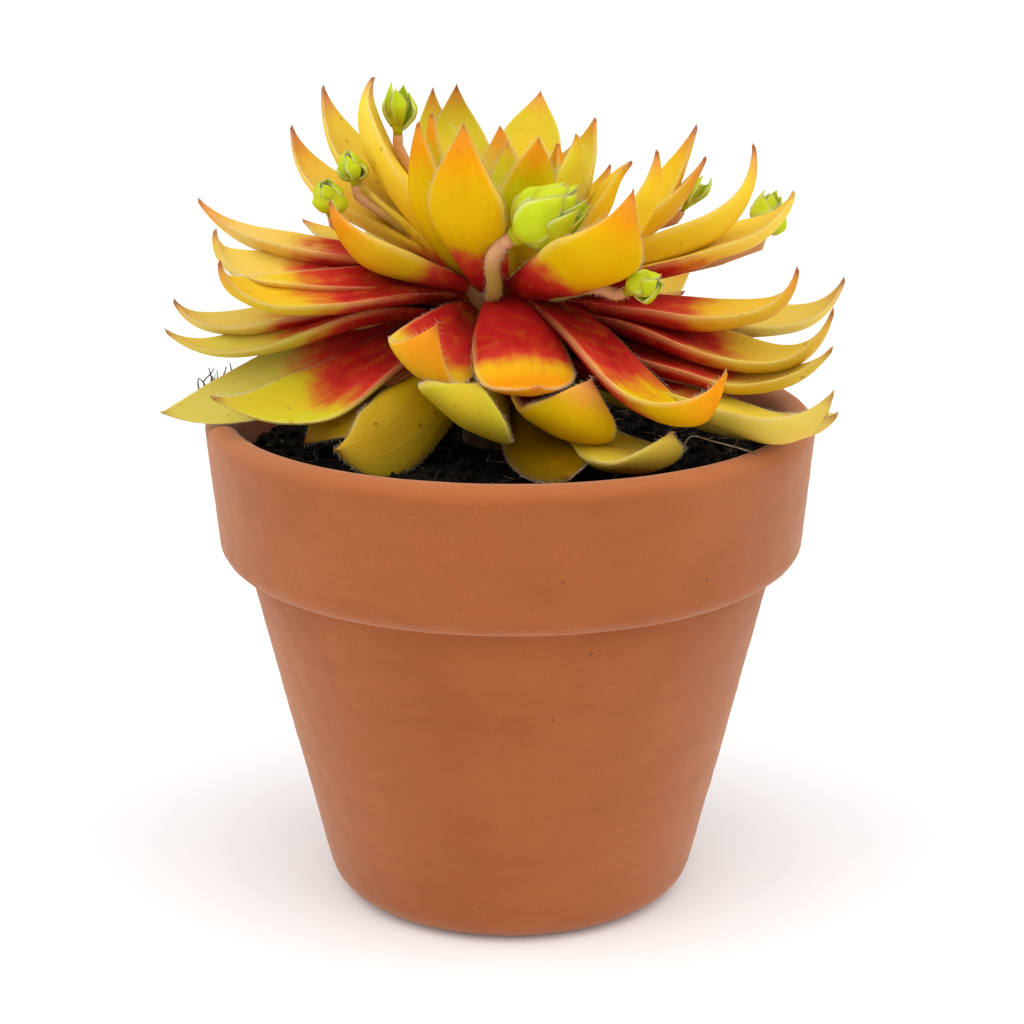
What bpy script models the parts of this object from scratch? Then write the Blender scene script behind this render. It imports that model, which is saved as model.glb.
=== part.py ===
"""A potted houseleek: a terracotta pot, its soil and one succulent rosette with small offsets.

Sizes are written in millimetres and turned into metres when a mesh is made. The origin is on the pot's
axis at the level it stands on, +Z is up and -Y is the front.
"""
import math
from collections import namedtuple

import bmesh
import bpy
from mathutils import Matrix, Vector

MM = 0.001
GAP = 0.3
WELD = 0.01

# Pot
RIM_RADIUS = 50.0
POT_HEIGHT = 82.6
BAND_BOTTOM = 58.4
BAND_RADIUS = 48.3
BAND_EDGE = 3.5
BODY_TOP_RADIUS = 43.8
FOOT_RADIUS = 30.1
FOOT_EDGE = 6.5
FOOT_REST = 75
RIM_WALL = 5.1
INNER_FOOT_RADIUS = 25.6
FLOOR = 6.0
DRAIN_RADIUS = 5.0
POT_STEPS = 48

# Soil and stem
SOIL_EDGE = 75.4
SOIL_TOP = 77.2
STEM_HOLE_DEPTH = 16.0
STEM_RADIUS = 6.4
STEM_X = -1.5
STEM_TOP = 81.0
CORE_PROFILE = ((6.6, 81.3), (8.4, 87.0), (8.2, 97.0), (7.6, 104.0), (5.4, 109.0), (2.6, 111.4))
ROOT_RADIUS = 5.0

# Leaves: thickness, depth of the hollow across them, and how the width runs along them
LEAF_THICKNESS = 3.2
LEAF_CUP = 0.3
LEAF_RINGS = 8
BACK_RINGS = 5
ROOT_WIDTH = 0.5
# The blade's section goes round from one edge over the hollow side to the other edge and back by the keel
SECTION = (0, 90, 180, 225, 270, 315)
OFFSET_SECTION = (0, 90, 180, 270)

COLOURS = {
    "terracotta": (0.60, 0.25, 0.11),
    "soil": (0.022, 0.018, 0.015),
    "stem": (0.20, 0.11, 0.05),
    "leaf": (0.80, 0.55, 0.06),
    "offset": (0.46, 0.60, 0.07),
}
ROUGHNESS = {"terracotta": 0.85, "soil": 0.95, "stem": 0.8, "leaf": 0.45, "offset": 0.45}

# A leaf lies in a plane through the stem's axis. azimuth is counted from +X seen from above, root is the
# height where it leaves the stem, reach is its tip's distance from the axis and lift is how far the tip
# stands above the root. slopes are its angles at root and tip, pulls how long they hold. lean turns the
# plane about the leaf's line, roll turns the blade in it and twist turns it further towards the tip. bend
# bows the leaf sideways, widest is where along it the blade is broadest, and full how blunt its end is.
Leaf = namedtuple("Leaf", "name azimuth root reach lift slopes pulls width lean roll twist bend widest full",
                  defaults=(0, 0, 0, 0, 0.58, 1.5))

CROWN = [
    Leaf("crown_left_1", 152, 102, 39.5, 24.5, (43, 86), (0.4, 0.35), 11.5),
    Leaf("crown_left_2", 155, 102, 33, 31.5, (47, 88), (0.4, 0.35), 13.5, 3),
    Leaf("crown_left_3", 172, 104.5, 21.5, 31.5, (50, 125), (0.35, 0.3), 13, 12),
    Leaf("crown_left_4", 204, 101.5, 28, 17, (35, 83), (0.4, 0.4), 12.5, 10),
    Leaf("crown_front_1", 252, 103, 18, 28.5, (44, 111), (0.45, 0.45), 12.5),
    Leaf("crown_front_2", 292, 100.5, 31, 24, (38, 113), (0.5, 0.5), 14.5, -22),
    Leaf("crown_back_1", 110, 103.5, 21.5, 29.5, (53, 122), (0.4, 0.35), 10.5),
    Leaf("crown_back_2", 75, 106, 25.5, 25.5, (63, 60), (0.4, 0.35), 12),
    Leaf("crown_back_3", 120, 103.5, 22.5, 29, (63, 116), (0.4, 0.35), 9),
    Leaf("crown_right_1", 40, 102, 23.5, 18.5, (41, 71), (0.4, 0.35), 8),
    Leaf("crown_right_2", 2, 105.5, 21, 17.5, (19, 37), (0.45, 0.3), 8),
    Leaf("crown_right_3", 335, 103.5, 26.5, 23, (15, 98), (0.4, 0.35), 11),
    Leaf("crown_right_4", 20, 102.5, 34, 25, (13, 71), (0.45, 0.4), 11),
    Leaf("crown_right_5", 5, 102.5, 34, 21, (24, 61), (0.4, 0.35), 9.5, -16),
    Leaf("crown_right_6", 348, 101, 39.5, 26, (38, 99), (0.45, 0.45), 12, -12),
    Leaf("crown_right_7", 358, 98, 46.5, 21, (33, 83), (0.45, 0.25), 12, 4),
]
HEART = [
    Leaf("heart_1", 268, 104, 4, 25.5, (80, 90), (0.4, 0.35), 8.5),
    Leaf("heart_2", 279, 104, 6, 23, (70, 100), (0.4, 0.35), 7.5),
    Leaf("heart_3", 215, 105, 15.5, 25.5, (39, 98), (0.4, 0.35), 9.5),
    Leaf("heart_4", 190, 108.5, 11, 22.5, (66, 91), (0.4, 0.35), 6.5),
    Leaf("heart_5", 297, 104.5, 13, 24, (69, 78), (0.4, 0.35), 10.5),
    Leaf("heart_6", 20, 110.5, 9.5, 15, (54, 93), (0.4, 0.35), 6.5),
    Leaf("heart_7", 30, 106.5, 17.5, 22.5, (41, 81), (0.4, 0.35), 9.5),
    Leaf("heart_8", 340, 108, 12.5, 20, (56, 91), (0.4, 0.35), 9.5),
]
SKIRT = [
    Leaf("left_1", 177, 99.5, 49, 17.5, (38, 57), (0.45, 0.35), 11.5, -2),
    Leaf("left_2", 186, 98.5, 45.5, 16, (37, 97), (0.45, 0.35), 12, -16),
    Leaf("left_3", 200, 101, 47, 10, (31, 85), (0.35, 0.35), 12.5, -16),
    Leaf("left_4", 178, 100, 53.5, 0.5, (28, 67), (0.3, 0.3), 11.5, -6),
    Leaf("left_5", 185, 94, 54.5, 3, (53, 44), (0.45, 0.4), 11.5, -8),
    Leaf("left_6", 198, 96, 55.5, -13, (58, 20), (0.2, 0.3), 14.5, -29, 4, -8, -0.5, 0.56, 2.2),
    Leaf("left_7", 208, 99, 50.5, -9, (-9, 34), (0.3, 0.45), 14, -8, 7, -25, -0.5, 0.62, 1.7),
    Leaf("left_8", 210, 87.5, 34, -9, (-28, -66), (0.45, 0.4), 12, -28, 21, -21, 0, 0.6, 2.3),
    Leaf("left_9", 228, 91.5, 37.5, -9, (-12, 21), (0.45, 0.45), 12.5, -7, -20, -47, 0, 0.6, 2.2),
    Leaf("front_1", 244, 97, 25.5, 5.5, (34, 105), (0.55, 0.95), 14, -21, -25, 27, -0.5, 0.63, 2.2),
    Leaf("front_2", 265, 95.5, 34.5, -0.5, (-45, 114), (0.6, 0.3), 16.5, -23, -8, 0, 0, 0.63, 2.7),
    Leaf("front_3", 278, 101, 40, -5.5, (-3, 25), (0.4, 0.45), 15.8, 0, 0, 0, 0, 0.6, 1.8),
    Leaf("front_4", 292, 93, 34, 2.5, (-14, 101), (0.6, 0.55), 15, -29, 11, -16, 1.5, 0.67, 2.9),
    Leaf("front_5", 285, 85.5, 40.5, -4.5, (-5, 13), (0.35, 0.3), 13.5, -5, -16, 44, 1, 0.55, 1.7),
    Leaf("front_6", 307, 89, 43.5, -1.5, (-22, 77), (0.7, 0.25), 15, -14, 10, 0, 0.5, 0.62, 2.4),
    Leaf("front_7", 321, 101.5, 46.5, -6, (15, 98), (0.25, 0.6), 15.5, -34, 29, -18, -1.5, 0.65, 1.8),
    Leaf("right_1", 342, 100.5, 48.5, 8.5, (9, 87), (0.35, 0.35), 12, 2),
    Leaf("right_2", 6, 97, 56.5, 6.5, (20, 76), (0.35, 0.35), 12, 6),
    Leaf("right_3", 340, 96.5, 55, 7, (34, 74), (0.4, 0.5), 12.5, 6),
    Leaf("right_4", 337, 92.5, 56, 5.5, (18, 54), (0.45, 0.4), 12, 8),
    Leaf("right_5", 325, 93.5, 61, 0.5, (0, 67), (0.6, 0.35), 14, 4, -9, -11, -0.5, 0.6, 1.8),
    Leaf("right_6", 326, 89.5, 61.5, 1, (-4, 48), (0.3, 0.35), 11.5, 19, -11, -11, 2.5, 0.73, 2.8),
    Leaf("back_left", 140, 98.5, 45, 10.5, (30, 32), (0.4, 0.25), 10),
    Leaf("back_right", 30, 95.5, 36, 3, (8, 10), (0.4, 0.35), 8),
]

# The leaves at the back stand in even rows: azimuths, root, reach, lift and slopes
BackRow = namedtuple("BackRow", "name first step count root reach lift slopes")
BACK_ROWS = [
    BackRow("back_low", 44.5, 18.3, 6, 95.5, 47.5, 3.5, (5, 50)),
    BackRow("back_mid", 52.5, 18.7, 5, 100.4, 41, 10, (18, 62)),
    BackRow("back_high", 64, 26.4, 3, 104.7, 27, 17.5, (40, 80)),
]
BACK_WIDTH = 11.5
BACK_LEAN = 7
BUD_LEAVES = 7


# The young offsets: foot is where each sits, axis the way it grows, height and radius its size, and open
# how far its leaf tips stand apart, from 0 for a closed bud. blade is a leaf's width against the radius and
# steep the slope at which its outer leaves start.
Offset = namedtuple("Offset", "name foot axis height radius open blade leaves turn steep", defaults=(5,))
OFFSETS = [
    Offset("offset_1", (-18.5, 12.0, 126.6), (0, 0, 1), 7.6, 2.7, 0.5, 1.3, 5, 200, 48),
    Offset("offset_2", (-25.3, 3.2, 119.6), (-0.2, -0.1, 1), 5.0, 2.2, 0.1, 1.4, 7, 90),
    Offset("offset_3", (-29.1, 2.0, 115.0), (-0.15, -0.4, 0.9), 5.6, 3.1, 0.15, 1.4, 7, 0),
    Offset("offset_4", (1.1, -16.65, 114.0), (0.8, -0.1, 0.5), 12.6, 5.0, 0.6, 1.35, 13, 40),
    Offset("offset_5", (41.2, 6.4, 111.0), (0.2, -0.1, 1), 6.8, 3.2, 0.6, 1.4, 7, 270),
    Offset("offset_6", (18.6, -20.2, 106.1), (0.8, -0.4, 0.35), 5.6, 2.8, 0.1, 1.5, 7, 20),
    Offset("offset_7", (29.0, 13.0, 113.6), (0.6, 0, 0.8), 6.5, 1.4, 0.2, 1.8, 3, 0),
]
OFFSET_THICKNESS = 1.0
OFFSET_RINGS = 4
OFFSET_STALK = 1.0
OFFSET_LEAN = 8

# The stolons that carry the offsets, each named for its own: the points of its route from the rosette's
# axis, to which the offset's foot is added, and its radius
Stolon = namedtuple("Stolon", "offset route radius")
STOLONS = [
    Stolon("offset_1", ((-4, 5, 106), (-10, 9, 112), (-15.8, 11.5, 119)), 1.1),
    Stolon("offset_2", ((-5, 2, 105), (-13, 3, 109), (-21.5, 3.2, 114.5)), 0.9),
    Stolon("offset_3", ((-6, 0, 104), (-15, 0.5, 106), (-25, 2.5, 110)), 1.1),
    Stolon("offset_4", ((-3, -6, 102), (-2.5, -13, 105), (-2.8, -16.3, 110)), 1.6),
    Stolon("offset_5", ((5, 2, 103), (15, 4, 104), (30, 6, 105)), 1.3),
    Stolon("offset_6", ((2, -6, 102), (8, -13, 104), (13, -18, 106)), 1.2),
    Stolon("offset_7", ((4, 4, 104), (14, 10, 106.5), (22, 13, 109.5)), 0.9),
]


def back_leaves():
    """The leaves of the even rows, each a little longer or shorter than the last and lapping the next."""
    leaves = []
    for row in BACK_ROWS:
        for i in range(row.count):
            swing = (-1) ** i
            leaves.append(Leaf(f"{row.name}_{i + 1}", row.first + i * row.step, row.root + 0.7 * swing,
                               row.reach - 1.2 * swing + 0.3 * i, row.lift + 1.5 * swing, row.slopes,
                               (0.4, 0.35), BACK_WIDTH, BACK_LEAN))
    return leaves


def bud_leaves():
    """The young leaves that still stand close together in the rosette's heart."""
    leaves = []
    for i in range(BUD_LEAVES):
        layer = i / (BUD_LEAVES - 1)
        leaves.append(Leaf(f"bud_{i + 1}", 60 + 137.5 * i, 106.5 + 3.0 * layer, 8.6 - 4.6 * layer,
                           14.0 - 1.5 * layer, (70, 97), (0.4, 0.35), 7.2 - 1.6 * layer, 6))
    return leaves


def material(name):
    """A plain material with the sub-part's colour."""
    made = bpy.data.materials.new(name)
    made.use_nodes = True
    shader = made.node_tree.nodes["Principled BSDF"]
    shader.inputs["Base Color"].default_value = (*COLOURS[name], 1.0)
    shader.inputs["Roughness"].default_value = ROUGHNESS[name]
    shader.inputs["Metallic"].default_value = 0.0
    made.diffuse_color = (*COLOURS[name], 1.0)
    return made


def arc(centre_r, centre_z, radius, start, end, steps):
    """Points on an arc in the (radius, height) plane, angles in degrees."""
    points = []
    for i in range(steps + 1):
        angle = math.radians(start + (end - start) * i / steps)
        points.append((centre_r + radius * math.cos(angle), centre_z + radius * math.sin(angle)))
    return points


def turned(name, profile, steps, collection, look, centre_x=0.0):
    """A solid of revolution from a profile that runs down the outer side; on the axis it is closed."""
    mesh = bpy.data.meshes.new(name)
    points = [(r * MM, 0.0, z * MM) for r, z in profile]
    closed = profile[0][0] > 0 and profile[-1][0] > 0
    edges = [(i, i + 1) for i in range(len(points) - 1)]
    if closed:
        edges.append((len(points) - 1, 0))
    mesh.from_pydata(points, edges, [])
    made = bpy.data.objects.new(name, mesh)
    collection.objects.link(made)
    screw = made.modifiers.new("Turn", "SCREW")
    screw.steps = steps
    screw.render_steps = steps
    screw.use_merge_vertices = True
    screw.merge_threshold = WELD * MM
    made.location = (centre_x * MM, 0.0, 0.0)
    mesh.materials.append(look)
    return made


def pot_profile():
    """The pot's section, from the rim's inner side over the lip, down the outside and up the inside."""
    lip = RIM_WALL / 2
    lean = math.atan2(BODY_TOP_RADIUS - FOOT_RADIUS, BAND_BOTTOM)
    foot_height = FOOT_EDGE * math.sin(math.radians(FOOT_REST))
    foot_centre = FOOT_RADIUS + foot_height * math.tan(lean) - FOOT_EDGE / math.cos(lean)
    profile = arc(RIM_RADIUS - lip, POT_HEIGHT - lip, lip, 180, 0, 6)
    profile += arc(BAND_RADIUS - BAND_EDGE, BAND_BOTTOM + BAND_EDGE, BAND_EDGE, 0, -90, 3)
    profile += [(BODY_TOP_RADIUS, BAND_BOTTOM)]
    profile += arc(foot_centre, foot_height, FOOT_EDGE, -math.degrees(lean), -FOOT_REST, 4)
    profile += [(DRAIN_RADIUS, 0.0), (DRAIN_RADIUS, FLOOR), (INNER_FOOT_RADIUS, FLOOR)]
    return profile


def inner_radius(height):
    """The pot's inner radius at a height."""
    rim = RIM_RADIUS - RIM_WALL
    along = (height - FLOOR) / (POT_HEIGHT - RIM_WALL / 2 - FLOOR)
    return INNER_FOOT_RADIUS + (rim - INNER_FOOT_RADIUS) * along


def soil_profile():
    """The soil's section: it fills the pot and has a plain round hole for the stem."""
    hole = STEM_RADIUS + GAP - STEM_X
    bottom = FLOOR + GAP
    return [
        (0.0, SOIL_TOP - STEM_HOLE_DEPTH),
        (hole, SOIL_TOP - STEM_HOLE_DEPTH),
        (hole, SOIL_TOP + 0.4),
        (20.0, SOIL_TOP),
        (34.0, SOIL_TOP - 0.7),
        (inner_radius(SOIL_EDGE) - GAP, SOIL_EDGE),
        (inner_radius(bottom) - GAP, bottom),
        (0.0, bottom),
    ]


def leaf_curve(leaf, along, root_radius):
    """Where the leaf's middle line is at a fraction of its length, and the way its blade spreads there."""
    azimuth = math.radians(leaf.azimuth)
    lean = math.radians(leaf.lean)
    out = Vector((math.cos(azimuth), math.sin(azimuth), 0.0))
    side = Vector((-math.sin(azimuth), math.cos(azimuth), 0.0))
    up = Vector((0.0, 0.0, 1.0))
    tilted_side = side * math.cos(lean) + up * math.sin(lean)
    tilted_up = up * math.cos(lean) - side * math.sin(lean)
    root = out * root_radius + up * leaf.root
    tip = Vector((leaf.reach - root_radius, leaf.lift))
    start, end = (math.radians(a) for a in leaf.slopes)
    first = tip.length * leaf.pulls[0] * Vector((math.cos(start), math.sin(start)))
    last = tip - tip.length * leaf.pulls[1] * Vector((math.cos(end), math.sin(end)))
    rest = 1.0 - along
    flat = 3 * rest * rest * along * first + 3 * rest * along * along * last + along ** 3 * tip
    bow = tilted_side * (leaf.bend * math.sin(math.pi * along))
    return root + out * flat.x + tilted_up * flat.y + bow, tilted_side


def width_at(leaf, along):
    """Half the blade's width there, as a share of the widest half."""
    if along < leaf.widest:
        return ROOT_WIDTH + (1 - ROOT_WIDTH) * math.sin(math.pi / 2 * along / leaf.widest) ** 1.3
    return 1.0 - ((along - leaf.widest) / (1 - leaf.widest)) ** leaf.full


def thickness_at(along):
    """The blade's thickness there, as a share of the full thickness."""
    swell = 0.75 + 0.25 * math.sin(math.pi * min(along / 0.7, 1.0))
    thinning = max((along - 0.45) / 0.55, 0.0) ** 1.6
    return swell * (1.0 - 0.8 * thinning)


def section_height(across, under, half, thick):
    """How high the blade's surface lies at a place across it: a hollow above and a keel below."""
    rim = LEAF_CUP * half * across * across
    if under:
        return rim - 0.78 * thick * math.sqrt(max(1 - across * across, 0.0))
    return rim + 0.22 * thick * (1 - across * across)


def leaf_mesh(leaf, frame, thickness=LEAF_THICKNESS, rings=LEAF_RINGS, root_radius=ROOT_RADIUS,
              section=SECTION):
    """A boat-shaped leaf lofted along its curve to a point."""
    bm = bmesh.new()
    loops = []
    for i in range(rings):
        along = i / rings
        point, side = leaf_curve(leaf, along, root_radius)
        ahead = leaf_curve(leaf, along + 0.02, root_radius)[0]
        behind = leaf_curve(leaf, max(along - 0.02, 0.0), root_radius)[0]
        forward = (ahead - behind).normalized()
        side = (side - forward * side.dot(forward)).normalized()
        turn = Matrix.Rotation(math.radians(leaf.roll + leaf.twist * along), 3, forward)
        above = turn @ forward.cross(side)
        side = turn @ side
        half = leaf.width / 2 * width_at(leaf, along)
        thick = thickness * thickness_at(along)
        loop = []
        for angle in section:
            across = math.cos(math.radians(angle))
            height = section_height(across, angle > 180, half, thick)
            loop.append(bm.verts.new(frame @ ((point + side * half * across + above * height) * MM)))
        loops.append(loop)
    tip = bm.verts.new(frame @ (leaf_curve(leaf, 1.0, root_radius)[0] * MM))
    bm.faces.new(reversed(loops[0]))
    count = len(section)
    for low, high in zip(loops, loops[1:]):
        for j in range(count):
            k = (j + 1) % count
            bm.faces.new((low[j], low[k], high[k], high[j]))
    for j in range(count):
        bm.faces.new((loops[-1][j], loops[-1][(j + 1) % count], tip))
    bmesh.ops.recalc_face_normals(bm, faces=bm.faces)
    bmesh.ops.triangulate(bm, faces=bm.faces)
    mesh = bpy.data.meshes.new(leaf.name)
    bm.to_mesh(mesh)
    bm.free()
    return mesh


def offset_leaves(offset):
    """The leaves of one young offset, the outer ones first, turning by the golden angle."""
    leaves = []
    for i in range(offset.leaves):
        layer = i / (offset.leaves - 1)
        reach = offset.radius * (0.1 + offset.open * (1 - 0.8 * layer))
        root = offset.height * 0.25 * layer
        tip = offset.height * (0.8 + 0.2 * layer)
        slopes = (offset.steep + (70 - offset.steep) * layer, 135 - 50 * offset.open)
        leaves.append(Leaf(f"{offset.name}_{i + 1}", offset.turn + 137.5 * i, root, reach, tip - root, slopes,
                           (0.65 - 0.3 * layer, 0.5), offset.blade * offset.radius * (1 - 0.3 * layer),
                           OFFSET_LEAN))
    return leaves


def tube(name, points, radius):
    """A round tube with closed ends through the points, as a welded mesh object."""
    curve = bpy.data.curves.new(name, "CURVE")
    curve.dimensions = "3D"
    curve.bevel_depth = radius * MM
    curve.bevel_resolution = 1
    curve.use_fill_caps = True
    spline = curve.splines.new("POLY")
    spline.points.add(len(points) - 1)
    for spot, place in zip(spline.points, points):
        spot.co = (*(place * MM), 1.0)
    guide = bpy.data.objects.new(name + " guide", curve)
    bpy.context.scene.collection.objects.link(guide)
    bpy.context.view_layer.update()
    graph = bpy.context.evaluated_depsgraph_get()
    mesh = bpy.data.meshes.new_from_object(guide.evaluated_get(graph))
    made = bpy.data.objects.new(name, mesh)
    made.matrix_world = guide.matrix_world
    bpy.data.objects.remove(guide)
    bm = bmesh.new()
    bm.from_mesh(mesh)
    bmesh.ops.remove_doubles(bm, verts=bm.verts, dist=WELD * MM)
    bm.to_mesh(mesh)
    bm.free()
    return made


def smooth_route(route, steps=3):
    """Points on a smooth curve through the route's own points."""
    spots = [Vector(p) for p in route]
    spots = [spots[0] * 2 - spots[1]] + spots + [spots[-1] * 2 - spots[-2]]
    points = []
    for a, b, c, d in zip(spots, spots[1:], spots[2:], spots[3:]):
        for i in range(steps):
            t = i / steps
            points.append(0.5 * (2 * b + (c - a) * t + (2 * a - 5 * b + 4 * c - d) * t * t
                                 + (3 * b - a - 3 * c + d) * t ** 3))
    points.append(spots[-2])
    return points


def keep_largest(mesh):
    """Leaves only the body with the most vertices, so that no scrap or sealed pocket stays."""
    bm = bmesh.new()
    bm.from_mesh(mesh)
    unseen = set(bm.verts)
    bodies = []
    while unseen:
        body = []
        edge_of_body = [unseen.pop()]
        while edge_of_body:
            vert = edge_of_body.pop()
            body.append(vert)
            for edge in vert.link_edges:
                other = edge.other_vert(vert)
                if other in unseen:
                    unseen.remove(other)
                    edge_of_body.append(other)
        bodies.append(body)
    bodies.sort(key=len)
    for body in bodies[:-1]:
        bmesh.ops.delete(bm, geom=body, context="VERTS")
    bm.to_mesh(mesh)
    bm.free()


def fused(name, core, pieces, collection, look):
    """One body of a core and the pieces that grow from it."""
    parts = bpy.data.collections.new(name + " parts")
    bpy.context.scene.collection.children.link(parts)
    for piece in pieces:
        parts.objects.link(piece)
    union = core.modifiers.new("Grow together", "BOOLEAN")
    union.operation = "UNION"
    union.operand_type = "COLLECTION"
    union.collection = parts
    bpy.context.view_layer.update()
    graph = bpy.context.evaluated_depsgraph_get()
    mesh = bpy.data.meshes.new_from_object(core.evaluated_get(graph))
    mesh.name = name
    made = bpy.data.objects.new(name, mesh)
    made.matrix_world = core.matrix_world
    for piece in list(parts.objects) + [core]:
        bpy.data.objects.remove(piece)
    bpy.data.collections.remove(parts)
    keep_largest(mesh)
    mesh.materials.clear()
    mesh.materials.append(look)
    collection.objects.link(made)
    return made


def build_pot(collection, look):
    return turned("pot", pot_profile(), POT_STEPS, collection, look)


def build_soil(collection, look):
    return turned("soil", soil_profile(), POT_STEPS, collection, look)


def build_stem(collection, look):
    bpy.ops.mesh.primitive_cylinder_add(
        vertices=16, radius=STEM_RADIUS * MM, depth=(STEM_TOP - SOIL_TOP + STEM_HOLE_DEPTH - GAP) * MM)
    stem = bpy.context.object
    stem.name = "stem"
    stem.location = (STEM_X * MM, 0.0, (STEM_TOP + SOIL_TOP - STEM_HOLE_DEPTH + GAP) / 2 * MM)
    for home in list(stem.users_collection):
        home.objects.unlink(stem)
    collection.objects.link(stem)
    stem.data.materials.append(look)
    return stem


def build_rosette(collection, look):
    """All the leaves and stolons, rooted in one short fleshy axis."""
    lowest, highest = CORE_PROFILE[0][1], CORE_PROFILE[-1][1]
    profile = [(0.0, highest + 0.6)] + list(reversed(CORE_PROFILE)) + [(0.0, lowest)]
    core = turned("core", profile, 16, collection, look, STEM_X)
    shift = Matrix.Translation((STEM_X * MM, 0.0, 0.0))
    grown = []
    for leaf in CROWN + HEART + SKIRT:
        grown.append(bpy.data.objects.new(leaf.name, leaf_mesh(leaf, shift)))
    for leaf in back_leaves() + bud_leaves():
        grown.append(bpy.data.objects.new(leaf.name, leaf_mesh(leaf, shift, rings=BACK_RINGS)))
    carried = {offset.name: offset for offset in OFFSETS}
    for stolon in STOLONS:
        offset = carried[stolon.offset]
        axis = Vector(offset.axis).normalized()
        end = Vector(offset.foot) - axis * (OFFSET_STALK + GAP)
        points = smooth_route(list(stolon.route) + [end - axis * 1.5]) + [end]
        grown.append(tube(stolon.offset + " stolon", points, stolon.radius))
    return fused("rosette", core, grown, collection, look)


def build_offset(offset, collection, look):
    """One young rosette of small leaves round a slim heart."""
    axis = Vector(offset.axis).normalized()
    frame = Matrix.Translation(Vector(offset.foot) * MM) @ axis.to_track_quat("Z", "Y").to_matrix().to_4x4()
    heart = offset.radius * 0.55
    profile = [(0.0, offset.height * 0.75), (heart * 0.7, offset.height * 0.6), (heart, offset.height * 0.3),
               (heart * 0.6, 0.0), (heart * 0.5, -OFFSET_STALK), (0.0, -OFFSET_STALK)]
    core = turned("core", profile, 8, collection, look)
    core.matrix_world = frame
    grown = []
    for leaf in offset_leaves(offset):
        mesh = leaf_mesh(leaf, frame, OFFSET_THICKNESS, OFFSET_RINGS, heart * 0.5, OFFSET_SECTION)
        grown.append(bpy.data.objects.new(leaf.name, mesh))
    return fused(offset.name, core, grown, collection, look)


def main():
    for old in list(bpy.data.objects):
        bpy.data.objects.remove(old)
    houseleek = bpy.data.collections.new("potted houseleek")
    bpy.context.scene.collection.children.link(houseleek)
    looks = {name: material(name) for name in COLOURS}
    build_pot(houseleek, looks["terracotta"])
    build_soil(houseleek, looks["soil"])
    build_stem(houseleek, looks["stem"])
    build_rosette(houseleek, looks["leaf"])
    for offset in OFFSETS:
        build_offset(offset, houseleek, looks["offset"])
    for made in houseleek.objects:
        made.data.shade_smooth()
        made.data.set_sharp_from_angle(angle=math.radians(35))


main()
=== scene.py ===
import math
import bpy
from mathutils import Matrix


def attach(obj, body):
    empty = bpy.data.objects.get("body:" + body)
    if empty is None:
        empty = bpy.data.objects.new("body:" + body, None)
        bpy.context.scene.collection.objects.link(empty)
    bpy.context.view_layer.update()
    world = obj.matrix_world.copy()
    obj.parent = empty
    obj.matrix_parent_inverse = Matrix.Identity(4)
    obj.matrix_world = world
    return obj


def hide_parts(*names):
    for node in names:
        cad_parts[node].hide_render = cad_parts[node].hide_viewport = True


bl_info = {
    "name": "Potted Houseleek",
    "version": (1, 0, 0),
    "blender": (4, 5, 0),
    "location": "View3D > Sidebar > Houseleek",
    "description": "Builds the fine leaves, hairs, soil, clay pot and studio of a potted houseleek",
    "category": "Object",
}

from collections import namedtuple
from itertools import combinations

import bpy
import numpy as np
from mathutils import Vector

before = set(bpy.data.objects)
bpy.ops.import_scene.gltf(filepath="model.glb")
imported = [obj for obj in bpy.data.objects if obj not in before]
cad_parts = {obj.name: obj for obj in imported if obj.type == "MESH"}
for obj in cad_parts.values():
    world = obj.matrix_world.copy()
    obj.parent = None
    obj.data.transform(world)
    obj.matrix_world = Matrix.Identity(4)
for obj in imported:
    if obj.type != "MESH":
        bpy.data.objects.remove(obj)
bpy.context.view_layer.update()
MM = 0.001
UP = np.array((0.0, 0.0, 1.0))

# Leaves
#
# A leaf lies in a plane through the stem's axis. azimuth is counted from +X seen from above, root is the
# height where it leaves the stem, reach its tip's distance from the axis and lift how far the tip stands
# above the root. slopes are its angles at root and tip, pulls how long they hold. lean turns the plane
# about the leaf's line, roll turns the blade in it and twist turns it further towards the tip. bend bows
# the leaf sideways, widest is where along it the blade is broadest, and full how blunt its end is.
# Lengths are in millimetres and angles in degrees.
Leaf = namedtuple("Leaf", "name azimuth root reach lift slopes pulls width lean roll twist bend widest full",
                  defaults=(0, 0, 0, 0, 0.58, 1.5))

# How one leaf is coloured: green is how green its yellow is, pale how creamy its outer half, and the third
# value how olive and dull it is, partly its own olive and partly painted shade, or below 0 how much painted
# sunlight brightens it; red_in and red_out are how far the red runs from the root on the inner and the outer
# face, flush is how far the orange comes down from the tip, dark how far the brown of the root reaches,
# partly its own colour and partly painted shade of the rosette's depth, tan how tanned its point is and
# specks how speckled it is.
Tint = namedtuple("Tint", "green pale dim red_in red_out flush dark tan specks", defaults=(0.3, 0.4, 0.3))

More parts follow.
